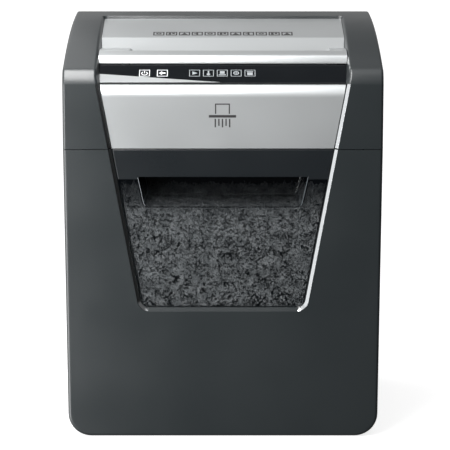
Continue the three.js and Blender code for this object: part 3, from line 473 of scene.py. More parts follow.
def head_shell():
    """Both cheeks, the crown behind the field and the field's side wall, as one skin."""
    bm = bmesh.new()
    rows = head_rows()
    last = max(i for i, (y, z, ny, nz) in enumerate(rows) if y <= TOP_END + 0.01 and nz > 0)
    rim = {-1: [], 1: []}
    cross = {}
    for side in (-1, 1):
        lines = []
        for i, (y, z, ny, nz) in enumerate(rows):
            points = []
            for k in range(7):
                a = math.radians(15 * k)
                inset = ROUND * (1 - math.sin(a))
                x = HALF_TOP - ROUND * (1 - math.cos(a))
                points.append((side * drafted(x, y), y - ny * inset, z - nz * inset))
            edge = field_edge(*rows[min(i, last)][:2])
            outer = drafted(HALF_TOP - ROUND, y)
            for k in range(1, 5):
                points.append((side * (outer + (edge - outer) * k / 4), y, z))
            lines.append(points if side < 0 else list(reversed(points)))
        verts = grid(bm, lines)
        inner = 10 if side < 0 else 0
        rim[side] = [verts[i][inner] for i in range(last + 1)]
        cross[side] = [row[inner] for row in verts[last:]]
        outer_edge = [row[0] if side < 0 else row[-1] for row in verts]
        bm.faces.new(outer_edge if side > 0 else list(reversed(outer_edge)))
    # the crown, between the two cheeks, behind the field
    spans = 8
    previous = None
    front_edge = []
    for left, right in zip(cross[-1], cross[1]):
        line = [left]
        for k in range(1, spans):
            line.append(bm.verts.new(left.co.lerp(right.co, k / spans)))
        line.append(right)
        if previous:
            for k in range(spans):
                bm.faces.new((previous[k], previous[k + 1], line[k + 1], line[k]))
        else:
            front_edge = line[1:-1]
        previous = line
    # the field's wall: a rounded edge, then down
    path = rim[-1] + front_edge + list(reversed(rim[1]))
    normals = [Vector((0, r[2], r[3])) for r in rows[: last + 1]]
    normals = normals + [normals[-1]] * len(front_edge) + list(reversed(normals))
    start = TOP_END - CORNER
    walls = []
    for vert, normal in zip(path, normals):
        x, y, z = vert.co
        if y > start + 0.01:
            centre = Vector((math.copysign(min(abs(x), TOP_HALF - CORNER), x), start, z))
            inward = centre - vert.co if abs(x) > TOP_HALF - CORNER + 0.1 else Vector((0, -1, 0))
            inward.z = 0
            inward.normalize()
        else:
            inward = Vector((-math.copysign(1, x), 0, 0))
        on_front = y < FRONT + 1 and z <= STRIP_TOP
        wide, deep, lean = (0.1, 0.1, 0.0) if on_front else (LIP_WIDE, LIP_DEEP, WALL_LEAN)
        if y > start + 0.01:
            share = min(1.0, (y - start) / 3)  # the rear edge is nearly sharp
            wide, deep = wide + (LIP_REAR - wide) * share, deep + (LIP_REAR - deep) * share
        line = [vert]
        for a in (22, 45, 68, 90):
            across, down = wide * math.sin(math.radians(a)), deep * (1 - math.cos(math.radians(a)))
            line.append(bm.verts.new(vert.co + inward * across - normal * down))
        for more in (5, 12):
            line.append(bm.verts.new(vert.co + inward * (wide + lean * more) - normal * (deep + more)))
        walls.append(line)
    bridge(bm, walls)
    solid("head_shell_body", bm, SHELL, "cabinet", "shell_grey", ("head_shell",), thick=2.2)


def bend_profile():
    """The fascia's outer profile, from its lower edge up and round to the panel's edge, as (y, z)."""
    deep, high = 12.0, 15.5
    reach = math.pi / 2 - PANEL_TILT
    start = PANEL_LOW[1] - 2.1 - high * math.sin(reach)
    rise = [(FIELD_Y + 0.7, SEAM - 0.4), (FIELD_Y + 0.2, SEAM - 0.2), (FIELD_Y, SEAM + 0.3)]
    rise += [(FIELD_Y, z) for z in (345, 360, 375)]
    turns = [reach * k / 12 for k in range(13)]
    return rise + [(FIELD_Y + deep * (1 - math.cos(t)), start + high * math.sin(t)) for t in turns]


def front_fascia():
    """The silver panel under the control panel, which rolls back at its top."""
    bm = bmesh.new()
    outer = bend_profile()
    inner = [(y + 1.8, z - 0.4) for y, z in reversed(outer)]
    loop = outer + inner
    columns = 16
    loops = []
    for k in range(columns + 1):
        t = -1 + 2 * k / columns
        loops.append([(t * min(field_half(z, EDGE + 0.3), TOP_HALF - EDGE), y, z) for y, z in loop])
    prism(bm, loops)
    solid("fascia_panel", bm, SILVER, "cabinet", "silver_trim", ("front_fascia",), bevel=0.35, angle=50)


# the rounded front of the lip, as (y, z)
NOSE = [(-86.3, 418.4), (-86.1, 420.4), (-84.9, 424.0), (-84.2, 425.6)]
NOSE += [(-83.3, 426.7), (-82.1, 427.4), (-80.5, 427.8)]
SLOT = (-102.0, 117.0)  # left and right end of the paper entry


def throat_bezel():
    """Front lip, paper entry and rear slope in one skin, with a bridge past each end of the entry."""
    bm = bmesh.new()
    lip = NOSE + [(-73, 429.2), (-68, 429.9), (-66.4, 430.0), (-65.6, 429.5)]
    throat = [(-65.0, 427.5), (-63.6, 419), (-62.4, 412), (-53.8, 417), (-45, 420.9), (-36, 424.8)]
    bridge = [(-64.4, 430.2), (-59, 430.0), (-54, 429.7), (-46, 429.2), (-36, 428.6), (-33.5, 428.0)]
    rear = [(-32.6, 427.3), (-20, 432.7), (-11.2, 436.5), SLOPE_LOW, (10, 439.1), (40, 442.3)]
    rear += [(65, 444.9), SLOPE_HIGH, (81, 446.0)]
    gap = len(lip) + 2
    left, right = SLOT
    wide = THROAT_HALF
    cells = [-1.0, -0.9, (left - 2.4) / wide, left / wide, left / wide * 0.6, -0.2, 0.1]
    cells += [0.4, right / wide * 0.8, right / wide, (right + 2.4) / wide, 0.92, 1.0]
    lines = []
    for t in cells:
        x = t * wide
        middle = throat if left - 0.1 <= x <= right + 0.1 else bridge
        line = []
        for y, z in lip + middle + rear:
            wall = TOP_HALF - LIP_WIDE - WALL_LEAN * max(0.0, top_curve(y) - z - LIP_DEEP) - 0.3
            reach = min(wide, wall)
            line.append((x if abs(t) < 0.99 else math.copysign(reach, t), y, z))
        lines.append(line)
    first, end = cells.index(left / wide), cells.index(right / wide)
    grid(bm, lines, skip=lambda i, j: first <= i < end and j == gap)
    bmesh.ops.recalc_face_normals(bm, faces=bm.faces)
    if max(bm.faces, key=lambda f: f.calc_area()).normal.z < 0:
        bmesh.ops.reverse_faces(bm, faces=bm.faces)
    finish = {"thick": 1.8, "bevel": 0.3, "angle": 40}
    piece("throat_surround", bm, SILVER, "cabinet", "silver_trim", ("throat_bezel",), **finish)


def edge_strip(name, side, low, high, body, replaces):
    """Bright 45 degree strip along one side of the field; with no low end it follows the bottom corner."""
    bm = bmesh.new()
    # inset from the field's outer edge, and depth behind the front
    section = [(0.3, 0.3), (3.55, 3.55), (3.55, 4.8), (0.3, 1.5)]
    paths = []
    for inset, back in section:
        if low is None:
            path = field_side(side, inset, high)
        else:
            heights = [low + (high - low) * k / 6 for k in range(6, -1, -1)]
            path = [(side * field_half(z, inset), z) for z in heights]
        paths.append([(x, FRONT + back, z) for x, z in path])
    loops = [[Vector(path[i]) for path in paths] for i in range(len(paths[0]))]
    if low is None:  # the strip tapers out in the field's bottom corner
        for k, keep in ((-3, 0.8), (-2, 0.55), (-1, 0.2)):
            loops[k] = [loops[k][0].lerp(point, keep) for point in loops[k]]
    prism(bm, loops)
    solid(name, bm, CHROME, body, "chrome_trim", replaces, bevel=0.2, angle=30)


# ---- control panel ----
def tilted(x, along, out=0.0):
    """A point of the control panel: across, up its slope, and out of its face."""
    s, c = math.sin(PANEL_TILT), math.cos(PANEL_TILT)
    return (x, PANEL_LOW[0] + along * c - out * s, PANEL_LOW[1] + along * s + out * c)


def rear_slope(x, along, out=0.0):
    """A point of the rear slope, measured from its front edge."""
    angle = math.atan2(SLOPE_HIGH[1] - SLOPE_LOW[1], SLOPE_HIGH[0] - SLOPE_LOW[0])
    s, c = math.sin(angle), math.cos(angle)
    return (x, SLOPE_LOW[0] + along * c - out * s, SLOPE_LOW[1] + along * s + out * c)


def on_fascia(x, up, out=0.0):
    """A point of the upright front, inside the field."""
    return (x, FIELD_Y - out, up)


def slab(bm, outline, place, low, high):
    """A flat solid from a closed outline of (x, along) points."""
    bottom = [bm.verts.new(place(x, a, low)) for x, a in outline]
    top = [bm.verts.new(place(x, a, high)) for x, a in outline]
    bm.faces.new(top)
    bm.faces.new(list(reversed(bottom)))
    for i in range(len(outline)):
        j = (i + 1) % len(outline)
        bm.faces.new((bottom[i], bottom[j], top[j], top[i]))


def rectangle(x0, x1, a0, a1, r=0.0):
    """An outline between two places across and two along, with corners of radius r."""
    if not r:
        return [(x0, a0), (x1, a0), (x1, a1), (x0, a1)]
    points = []
    centres = ((x1 - r, a0 + r), (x1 - r, a1 - r), (x0 + r, a1 - r), (x0 + r, a0 + r))
    for turn, (cx, ca) in enumerate(centres):
        for k in range(5):
            t = math.radians(90 * (turn - 1 + k / 4))
            points.append((cx + r * math.cos(t), ca + r * math.sin(t)))
    return points


def bar(x, a, half, low, high):
    """A rectangle centred on x, from low to high along, measured from a."""
    return rectangle(x - half, x + half, a + low, a + high)


def ring(cx, ca, r, width, start=0.0, end=360.0, steps=20):
    """Quads of an open or closed ring."""
    quads = []
    for k in range(steps):
        t0 = math.radians(start + (end - start) * k / steps)
        t1 = math.radians(start + (end - start) * (k + 1) / steps)
        corners = ((r, t0), (r, t1), (r - width, t1), (r - width, t0))
        quads.append([(cx + q * math.cos(t), ca + q * math.sin(t)) for q, t in corners])
    return quads


def frame_outline(x, a, half_w, half_h, width, side=None):
    """Four bars round a rectangle; the upright ones may have a width of their own."""
    side = side or width
    return [
        rectangle(x - half_w, x + half_w, a - half_h, a - half_h + width),
        rectangle(x - half_w, x + half_w, a + half_h - width, a + half_h),
        rectangle(x - half_w, x - half_w + side, a - half_h + width, a + half_h - width),
        rectangle(x + half_w - side, x + half_w, a - half_h + width, a + half_h - width),
    ]


INK_SUNK = 0.03  # how far a printed mark goes into its surface and stands out of it
INK_PROUD = 0.07


def print_on(name, outlines, place, material, body, slot):
    bm = bmesh.new()
    for outline in outlines:
        slab(bm, outline, place, -INK_SUNK, INK_PROUD)
    solid(name, bm, material, body, slot)


KEY_X = (-86.6, -66.9)
KEY_HALF = (6.7, 7.0)
LAMP_X = (-31.3, -16.0, -0.7, 14.6, 29.9)
MIDDLE = PANEL_LENGTH / 2
WEDGE = 16.5  # height of the light wedge at its left end


def control_panel():
    """The glossy panel, and the light wedge that lies flush in its notch."""
    bm = bmesh.new()
    half = PANEL_HALF
    end = PANEL_LENGTH - 2.0
    notch = [(-half, WEDGE + 0.3), (1.0, 0.7), (-half, 0.6)]
    slab(bm, [(-half, 0.0), (half, 0.0), (half, end), (-half, end)] + notch, tilted, -2.4, 0.0)
    panel = solid("key_panel", bm, GLOSS, "cabinet", "gloss_black", ("control_panel",), bevel=0.35)
    bm = bmesh.new()
    slab(bm, [(-half, 0.75), (-1.5, 0.75), (-half, WEDGE)], tilted, -2.4, 0.05)
    solid("panel_wedge", bm, SILVER, "cabinet", "silver_trim", ("panel_accent",), bevel=0.3)
    return panel


def cut_key_wells(panel):
    """Openings in the panel for the two keys."""
    for x in KEY_X:
        bm = bmesh.new()
        w, h = KEY_HALF[0] + 0.3, KEY_HALF[1] + 0.3
        slab(bm, rectangle(x - w, x + w, MIDDLE - h, MIDDLE + h, 1.1), tilted, -6.0, 4.0)
        bmesh.ops.recalc_face_normals(bm, faces=bm.faces)
        cutter = mesh_object("well", bm)
        modifier = panel.modifiers.new("well", "BOOLEAN")
        modifier.operation = "DIFFERENCE"
        modifier.object = cutter
        modifier.solver = "EXACT"
        bpy.context.view_layer.objects.active = panel
        with bpy.context.temp_override(object=panel, active_object=panel):
            bpy.ops.object.modifier_move_to_index(modifier="well", index=0)
            bpy.ops.object.modifier_apply(modifier="well")
        bpy.data.objects.remove(cutter)


def key(name, x, glyph, body):
    """A key's cap and its framed mark."""
    bm = bmesh.new()
    w, h = KEY_HALF
    slab(bm, rectangle(x - w, x + w, MIDDLE - h, MIDDLE + h, 0.9), tilted, -3.1, 0.0)
    solid(name + "_cap", bm, GLOSS, body, "gloss_black", (name,), bevel=0.3)
    outlines = frame_outline(x, MIDDLE, 5.9, 6.1, 0.8) + glyph
    print_on(name + "_mark", outlines, tilted, WHITE_INK, body, "gloss_black")


def glyphs():
    """Both keys, the indicator marks, and the light guide below them."""
    a = MIDDLE
    power, back = KEY_X
    power_mark = ring(power, a - 0.4, 3.6, 1.0, 125, 415, 18) + [bar(power, a, 0.5, -0.2, 4.0)]
    arrow = [(back - 3.9, a), (back - 0.3, a - 3.6), (back - 0.3, a + 3.6)]
    back_mark = [arrow, rectangle(back - 0.3, back + 3.4, a - 1.2, a + 1.2)]
    key("power_button", power, power_mark, "power_button")
    key("reverse_button", back, back_mark, "reverse_button")
    marks = []
    for x in LAMP_X:
        marks += frame_outline(x, a, 5.9, 6.1, 0.7)
    x0, x1, x2, x3, x4 = LAMP_X
    marks.append([(x0 - 2.4, a - 3.2), (x0 + 3.2, a), (x0 - 2.4, a + 3.2)])
    marks += [bar(x1, a, 0.8, -0.8, 4.2)] + ring(x1, a - 2.2, 2.0, 1.9, steps=12)
    marks += [bar(x2, a, 4.0, -4.0, -2.4), bar(x2, a, 2.6, -1.2, 3.8)]
    marks += ring(x3, a + 0.2, 3.3, 1.3, steps=16) + [bar(x3, a, 0.7, -1.2, 1.6)]
    marks += [bar(x4, a, 3.0, -4.0, 1.4), bar(x4, a, 3.6, 2.4, 3.8)]
    print_on("indicator_marks", marks, tilted, GREY_INK, "cabinet", "lamp_lens")
    # the light guide under the panel, with a raised block under each mark
    bm = bmesh.new()
    slab(bm, rectangle(LAMP_X[0] - 7, LAMP_X[4] + 7, 4, PANEL_LENGTH - 4), tilted, -5.2, -2.7)
    for x in LAMP_X:
        slab(bm, rectangle(x - 4.6, x + 4.6, a - 4.6, a + 4.6), tilted, -3.4, -2.5)
    solid("light_guide", bm, LENS, "cabinet", "lamp_lens", ("indicator_light_guide",), bevel=0.2)


def rear_pictograms():
    """A row of plain framed signs on the rear slope."""
    marks = []
    pitch = 14.65
    a = 16.0
    for i in range(11):
        x = (i - 5) * pitch
        marks += frame_outline(x, a, 6.4, 8.2, 3.2, 1.5)
        kind = i % 4
        if kind == 0:
            marks += ring(x, a, 3.4, 2.2, steps=14)
        elif kind == 1:
            marks.append(rectangle(x - 3.6, x - 0.6, a - 4.2, a + 4.2))
            marks.append(rectangle(x + 0.6, x + 3.6, a - 2.0, a + 4.2))
        elif kind == 2:
            marks.append([(x - 3.8, a - 4.4), (x + 3.8, a - 4.4), (x, a + 4.6)])
        else:
            marks += [bar(x, a, 1.1, -4.6, 4.6), rectangle(x - 3.8, x - 1.1, a - 1.6, a + 1.6)]
    print_on("rear_signs", marks, rear_slope, DARK_INK, "cabinet", "silver_trim")


def fascia_sign():
    """A plain shredder sign: a sheet going down into a bar, with strips below."""
    z = 366.0  # height of the bar
    marks = frame_outline(-0.5, z + 7.6, 8.2, 6.4, 1.3)[1:]
    marks.append(rectangle(-15.5, 14.5, z - 1.6, z + 1.2))
    for i in range(5):
        x = -8.4 + 3.95 * i
        low = z - 12.5 + (1.6 if i % 2 else 0.0)
        marks.append(rectangle(x - 0.75, x + 0.75, low, z - 3.0))
    print_on("fascia_sign", marks, on_fascia, DARK_INK, "cabinet", "silver_trim")


# ---- bin ----
def bin_front():
    """The bin's front: its rounded rim, the flat face round the field, and the field's bevelled edge."""
    bm = bmesh.new()
    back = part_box("bin_front")[1].y / MM
    r = ROUND
    rings = [[(x, back, z) for x, z in body_outline(0, BIN_TOP)]]
    for k in range(6):
        a = math.radians(18 * k)
        inset = r * (1 - math.cos(a))
        y = FRONT + r * (1 - math.sin(a))
        rings.append([(x, y, z) for x, z in body_outline(inset, BIN_TOP)])
    rings.append([(x, FRONT, z) for x, z in body_outline(r + 1.5, BIN_TOP)])
    verts = grid(bm, rings)
    outer = verts[-1]
    path = field_side(-1, 0, BIN_TOP, 60) + list(reversed(field_side(1, 0, BIN_TOP, 60)))
    inner = field_side(-1, EDGE, BIN_TOP, 60) + list(reversed(field_side(1, EDGE, BIN_TOP, 60)))
    edge = [bm.verts.new((x, FRONT, z)) for x, z in path]
    # the flat front, round the field
    face = bm.faces.new(list(reversed(edge)) + list(reversed(outer)))
    face.normal_update()
    bmesh.ops.triangulate(bm, faces=[face], ngon_method="EAR_CLIP")
    # the field's bevelled edge; it lies deeper behind the bright strips and is shallow along the bottom
    strip_sink, bottom_sink = 1.9, 0.3
    behind_strip = [abs(x) > STRIP_END - 0.1 for x, z in path]
    sink = [strip_sink if hidden else bottom_sink for hidden in behind_strip]
    slope = [EDGE + strip_sink if hidden else BEVEL_DEEP for hidden in behind_strip]
    rows = [
        edge,
        [bm.verts.new((x, FRONT + d, z)) for (x, z), d in zip(path, sink)],
        [bm.verts.new((x, FRONT + d, z)) for (x, z), d in zip(inner, slope)],
        [bm.verts.new((x, FIELD_Y + 6, z)) for x, z in inner],
    ]
    bridge(bm, rows)
    bmesh.ops.remove_doubles(bm, verts=bm.verts, dist=1e-4)
    bmesh.ops.recalc_face_normals(bm, faces=bm.faces)
    if max(bm.faces, key=lambda f: f.calc_area()).normal.y > 0:
        bmesh.ops.reverse_faces(bm, faces=bm.faces)
    piece("bin_front_panel", bm, SHELL, "bin", "shell_grey", ("bin_front",), thick=2.4)


HANDLE_LOW = 297.6
HANDLE_HALF = 94  # half width of the handle's lower part
WINDOW_TOP = 294.4
PANE = 2.4  # thickness of the window
MOUTH_R = 5.0  # lower corners of the pocket's mouth
POCKET_LOW = 264.0
POCKET_RISE = 8.0
POCKET_DEEP = 31.0
POCKET_R = 2.5  # rounding of the pocket's rear corners
POCKET_TAPER = 6.3  # lost on each side from front to rear


def pocket_half(z):
    """Half the width of the pocket's mouth at a height."""
    return 86.6 + 0.215 * (z - POCKET_LOW)


def pull_handle():
    """The dark bar over the pocket, with the hook behind it."""
    bm = bmesh.new()
    top = BIN_TOP - 0.3
    ends = WINDOW_TOP + 0.3
    wide, narrow = field_half(top, EDGE + 0.3), field_half(ends, EDGE + 0.3)
    right = [(HANDLE_HALF, HANDLE_LOW), (HANDLE_HALF, ends), (narrow, ends), (wide, top)]
    left = [(-x, z) for x, z in reversed(right)]
    slab(bm, left + right, on_fascia, -3.0, 0.0)
    slab(bm, rectangle(-112, 112, top - 3.6, top - 0.8), on_fascia, -25.7, -2.6)
    solid("pull_bar", bm, BAR, "bin", "gloss_black", ("pull_handle",), bevel=0.9, segments=3)


def bin_window():
    """The tinted pane and the finger pocket moulded in it."""
    bm = bmesh.new()
    # the pane, with the pocket's mouth cut out of its top
    inset = EDGE + 0.3
    left = field_side(-1, inset, WINDOW_TOP, end_x=60)
    right = field_side(1, inset, WINDOW_TOP, end_x=60)
    low, r = POCKET_LOW, MOUTH_R
    cx = pocket_half(low) - r * 1.02
    mouth = [(pocket_half(WINDOW_TOP), WINDOW_TOP), (pocket_half(low + r), low + r)]
    for k in range(1, 6):
        a = -math.pi / 2 * k / 5
        mouth.append((cx + r * math.cos(a), low + r + r * math.sin(a)))
    outline = left + list(reversed(right)) + mouth + [(-x, z) for x, z in reversed(mouth)]
    slab(bm, outline, on_fascia, -PANE, 0.0)
    bmesh.ops.recalc_face_normals(bm, faces=bm.faces)
    # the pocket's plan behind the mouth, as (distance in from the mouth's side, depth)
    plan = []
    side_taper = POCKET_TAPER * 0.9
    for k in range(4):
        t = k / 3
        plan.append((side_taper * t, PANE + (POCKET_DEEP - POCKET_R - PANE) * t))
    for k in range(1, 5):
        a = math.radians(90 * k / 4)
        inward = side_taper + POCKET_R * (1 - math.cos(a))
        plan.append((inward, POCKET_DEEP - POCKET_R + POCKET_R * math.sin(a)))
    lines = []
    for level in (0.0, 0.35, 1.2, 2.6, 4.6, 12, 22, 32, 42, 50):  # heights above the floor
        pull = r - math.sqrt(max(0.0, r ** 2 - (r - min(level, r)) ** 2))
        line = []
        for side in (-1, 1):
            part = []
            for inward, deep in plan:
                z = low + level + POCKET_RISE * deep / POCKET_DEEP
                x = pocket_half(z) - inward - pull
                part.append((side * x, FIELD_Y + deep, z))
            line += part if side < 0 else list(reversed(part))
        lines.append(line)
    before = set(bm.faces)
    verts = grid(bm, lines)
    bm.faces.new(verts[0])
    scoop = [f for f in bm.faces if f not in before]
    bmesh.ops.recalc_face_normals(bm, faces=scoop)
    bmesh.ops.solidify(bm, geom=scoop, thickness=-2.0)
    piece("smoked_window", bm, SMOKED_PANE_PAINTED_SHADE, "bin", "smoked_window", ("bin_window",))


def tube(bm, points, r):
    """A thin round bead along a path."""
    sides = 6
    rows = []
    for k, point in enumerate(points):
        ahead = Vector(points[min(k + 1, len(points) - 1)]) - Vector(points[max(k - 1, 0)])
        ahead.normalize()
        across = ahead.cross(Vector((0.3, 1, 0.2))).normalized()
        up = ahead.cross(across)
        row = []
        for j in range(sides):
            a = math.tau * j / sides
            row.append(Vector(point) + (across * math.cos(a) + up * math.sin(a)) * r)
        rows.append(row)
    verts = grid(bm, rows, closed=True)
    bm.faces.new(verts[0])
    bm.faces.new(list(reversed(verts[-1])))


def scoop_painted_highlights_and_shadow():
    """Painted highlights: light grey beads along the moulding's polished corners; and a painted shadow: a
    black bead along the scoop's rear crease.
    """
    # one mesh for the painted highlight beads, one for the painted shadow along the crease
    light, crease_shadow_bead = bmesh.new(), bmesh.new()
    front = FIELD_Y - 0.15
    rear = FIELD_Y + POCKET_DEEP - 0.4
    base = scoop_floor(rear)
    heights = (HANDLE_LOW - 0.4, 285, 275, POCKET_LOW + 4.0)
    for side in (-1, 1):
        mouth = [(side * (pocket_half(z) + 0.3), front, z) for z in heights]
        mouth.append((side * (pocket_half(POCKET_LOW) - 0.7), front, POCKET_LOW + 1.4))
        # beads along the mouth and the rear corners paint their highlights
        tube(light, mouth, 0.42)
        corner = [(side * scoop_side(rear - 1, z), rear - 1, z) for z in (306, 295, 285, base + 5)]
        corner.append((side * (scoop_side(rear, base) - 1.3), rear - 1, base + 1.6))
        tube(light, corner, 0.22)
        tube(light, [corner[-2], mouth[-2]], 0.15)
    # a black bead along the scoop's rear crease paints the shadow line there
    half = scoop_side(rear, base) - 3.5
    crease_shadow_line = [(x, rear - 1.2, base + 0.9) for x in (-half, -half / 3, half / 3, half)]
    tube(crease_shadow_bead, crease_shadow_line, 0.5)
    solid("window_painted_highlights", light, PAINTED_EDGE_HIGHLIGHT, "bin", "smoked_window", ("bin_window",), angle=60)
    solid("window_painted_crease_shadow", crease_shadow_bead, BLACK, "bin", "smoked_window", ("bin_window",), angle=60)


# ---- shredded paper ----
HEAP_TOP = 286.0  # height of the heap at the window
HEAP_UNDER = 262.0  # under the cutters
HEAP_REAR = 132.0
HEAP_BREAK = -48.0  # where it starts to fall off towards the rear
BIN_BACK = 117.0
BIN_FLOOR = 14.0
STRIP_LONG = (9.0, 18.0)
STRIP_WIDE = 1.2
PANE_BACK = FIELD_Y + 2.9
NEAR_PANE = -106.0  # in front of this, strips stay inside the window's outline
SCOOP_WALL = 2.6
BIN_HALF = 156.0


def heap_height(y):
    """Height of the paper along the bin."""
    if y < HEAP_BREAK:
        return HEAP_TOP + (HEAP_UNDER - HEAP_TOP) * (y - FIELD_Y) / (HEAP_BREAK - FIELD_Y)
    return HEAP_UNDER + (HEAP_REAR - HEAP_UNDER) * (y - HEAP_BREAK) / (BIN_BACK - HEAP_BREAK)


def add_strip(bm, centre, normal, chance, limit):
    """One curled strip of paper, lying roughly across the normal."""
    long = chance.uniform(*STRIP_LONG)
    wide = STRIP_WIDE * chance.uniform(0.85, 1.1)
    turn = Matrix.Rotation(chance.uniform(0, math.tau), 3, normal)
    along = turn @ (normal.orthogonal().normalized())
    along = (along + normal * chance.gauss(0, 0.22)).normalized()
    across = normal.cross(along).normalized()
    across = (Matrix.Rotation(chance.gauss(0, 0.55), 3, along) @ across).normalized()
    up = along.cross(across).normalized()
    curl = chance.gauss(0, 1.1)
    twist = chance.gauss(0, 0.9)
    steps = 3
    before = None
    at = Vector(centre) - along * long / 2
    for k in range(steps + 1):
        t = k / steps
        bend = curl * (t - 0.5)
        side = Matrix.Rotation(twist * (t - 0.5), 3, along) @ across
        pair = [limit(at + side * wide / 2), limit(at - side * wide / 2)]
        now = [bm.verts.new(p) for p in pair]
        if before:
            bm.faces.new((before[0], before[1], now[1], now[0]))
        before = now
        direction = (along * math.cos(bend) + up * math.sin(bend)).normalized()
        at = at + direction * long / steps


def scoop_floor(y):
    """Height of the scoop's floor at a depth."""
    return POCKET_LOW + POCKET_RISE * (y - FIELD_Y) / POCKET_DEEP


def scoop_side(y, z):
    """Half the scoop's width at a depth and height."""
    return pocket_half(z) - POCKET_TAPER * (y - FIELD_Y) / POCKET_DEEP


def keep_in_bin(point):
    """Moves a point of a strip out of the window, the scoop and the bin's walls."""
    x, y, z = point
    y = max(y, PANE_BACK)
    if y < NEAR_PANE:
        edge = field_half(z, EDGE + 1.5)
        x = max(-edge, min(edge, x))
        z = max(z, FIELD_BOTTOM + EDGE + 0.4)
    behind = FIELD_Y + POCKET_DEEP + SCOOP_WALL - y
    beside = scoop_side(y, z) + SCOOP_WALL - abs(x)
    under = z - scoop_floor(y) + SCOOP_WALL
    nearest = min(behind, beside, under)
    if nearest > 0:
        if nearest == behind:
            y += behind
        elif nearest == under:
            z -= under
        else:
            x += math.copysign(beside, x)
    return Vector((max(-BIN_HALF, min(BIN_HALF, x)), min(y, BIN_BACK - 1), max(z, BIN_FLOOR)))


def behind_scoop(point):
    x, y, z = point
    return keep_in_bin((x, max(y, FIELD_Y + POCKET_DEEP + SCOOP_WALL), z))


def under_scoop(point):
    x, y, z = point
    return keep_in_bin((x, y, min(z, scoop_floor(y) - SCOOP_WALL)))


def beside_scoop(point):
    x, y, z = point
    return keep_in_bin((math.copysign(max(abs(x), scoop_side(y, z) + SCOOP_WALL), x), y, z))


def strips_piece(name, places, chance, replaces=()):
    """One piece of loose strips; each has a place, the way its flat side faces, and a limit."""
    bm = bmesh.new()
    for place, facing, limit in places:
        add_strip(bm, place, Vector(facing).normalized(), chance, limit)
    strips = piece(name, bm, PAPER, "bin", "shreds", replaces)
    strips.modifiers.clear()
    strips.modifiers.new("sheet", "SOLIDIFY").thickness = 0.12 * MM


def window_places(count, low, high, chance):
    """Places against the window's pane, thick near it and thin deeper in."""
    for _ in range(count):
        z = chance.uniform(low, high)
        x = chance.uniform(-1, 1) * (field_half(z) - 3)
        depth = abs(chance.gauss(0, 1)) * 2.1 * (z - low + 60) / (high - low + 60)
        if z > POCKET_LOW - 4 and abs(x) < pocket_half(z) + 4:
            continue
        facing = (chance.gauss(0, 0.3), -1, chance.gauss(0, 0.35))
        yield (x, PANE_BACK + 0.4 + depth, z), facing, keep_in_bin


def scoop_places(count, chance):
    """Places against the scoop: behind its rear wall, under its floor and along its sides."""
    back = FIELD_Y + POCKET_DEEP + SCOOP_WALL
    for _ in range(count):
        z = chance.uniform(POCKET_LOW, HEAP_TOP - 7)
        x = chance.uniform(-1, 1) * pocket_half(z)
        facing = (chance.gauss(0, 0.3), -1, chance.gauss(0, 0.35))
        yield (x, back + 0.5 + abs(chance.gauss(0, 1)) * 3, z), facing, behind_scoop
    for _ in range(count):
        y = chance.uniform(PANE_BACK, back)
        x = chance.uniform(-1, 1) * pocket_half(POCKET_LOW)
        z = scoop_floor(y) - SCOOP_WALL - 0.5 - abs(chance.gauss(0, 1)) * 3
        yield (x, y, z), (chance.gauss(0, 0.3), -0.3, 1), under_scoop
    for _ in range(count // 2):
        y = chance.uniform(PANE_BACK, back)
        z = chance.uniform(POCKET_LOW, HEAP_TOP - 7 * (y - PANE_BACK) / POCKET_DEEP)
        side = chance.choice((-1, 1))
        x = scoop_side(y, z) + SCOOP_WALL + 0.5 + abs(chance.gauss(0, 1)) * 3
        yield (side * x, y, z), (-side, chance.gauss(0, 0.3), chance.gauss(0, 0.3)), beside_scoop


def heap_places(count, chance):
    """Places over the top of the heap."""
    for _ in range(count):
        x = chance.uniform(-BIN_HALF, BIN_HALF)
        y = chance.uniform(-88, BIN_BACK - 1)
        z = heap_height(y) + chance.gauss(-1, 2.5)
        yield (x, y, z), (chance.gauss(0, 0.35), chance.gauss(0, 0.35) + 0.4, 1), keep_in_bin


def shredded_paper():
    """Loose strips against the window and round the pocket, and over a rough core."""
    chance = random.Random(11)
    low, middle = FIELD_BOTTOM + 3, (FIELD_BOTTOM + POCKET_LOW) / 2
    strips_piece("paper_strips_low", window_places(7000, low, middle, chance), chance, ("paper_shreds",))
    strips_piece("paper_strips_high", window_places(9000, middle, HEAP_TOP, chance), chance)
    strips_piece("paper_strips_scoop", scoop_places(2600, chance), chance)
    strips_piece("paper_strips_top", heap_places(4500, chance), chance)
    core = bpy.data.objects.new("paper_mass", frame["nodes"]["paper_shreds"].data.copy())
    bpy.context.scene.collection.objects.link(core)
    core.data.materials.clear()
    core.data.materials.append(PAPER)
    remesh = core.modifiers.new("lumps", "REMESH")
    remesh.mode = "VOXEL"
    remesh.voxel_size = 5 * MM
    clouds = bpy.data.textures.new("crumple", "CLOUDS")
    clouds.noise_scale = 0.016
    push = core.modifiers.new("crumple", "DISPLACE")
    push.texture = clouds
    push.strength = 6 * MM
    push.mid_level = 1.05
    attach(core, "bin")


# ---- carried-over CAD nodes ----
def dress_nodes():
    """Materials and softened edges for the CAD nodes that stay in view."""
    looks = {  # material, and the bevel in millimetres
        "shell_grey": (SHELL, 0.8),
        "black_plastic": (BLACK, 0.3),
        "steel": (STEEL, 0.2),
        "gear_nylon": (NYLON, 0.15),
        "foot_rubber": (RUBBER, 0.5),
        "circuit_board": (BOARD, 0.15),
        "lamp_lens": (LENS, 0.2),
    }
    plated = ("side_plate", "head_screw", "motor_housing", "tie_bar")
    for row in frame["record"]["subparts"]:
        node = frame["nodes"][row["node"]]
        if node.hide_render or row["material_slot"] not in looks:
            continue
        material, bevel = looks[row["material_slot"]]
        if row["node"].startswith(plated):
            material = PLATED
        for slot in node.material_slots:
            slot.material = material
        finish_mesh(node, bevel=bevel, weld=0.005)


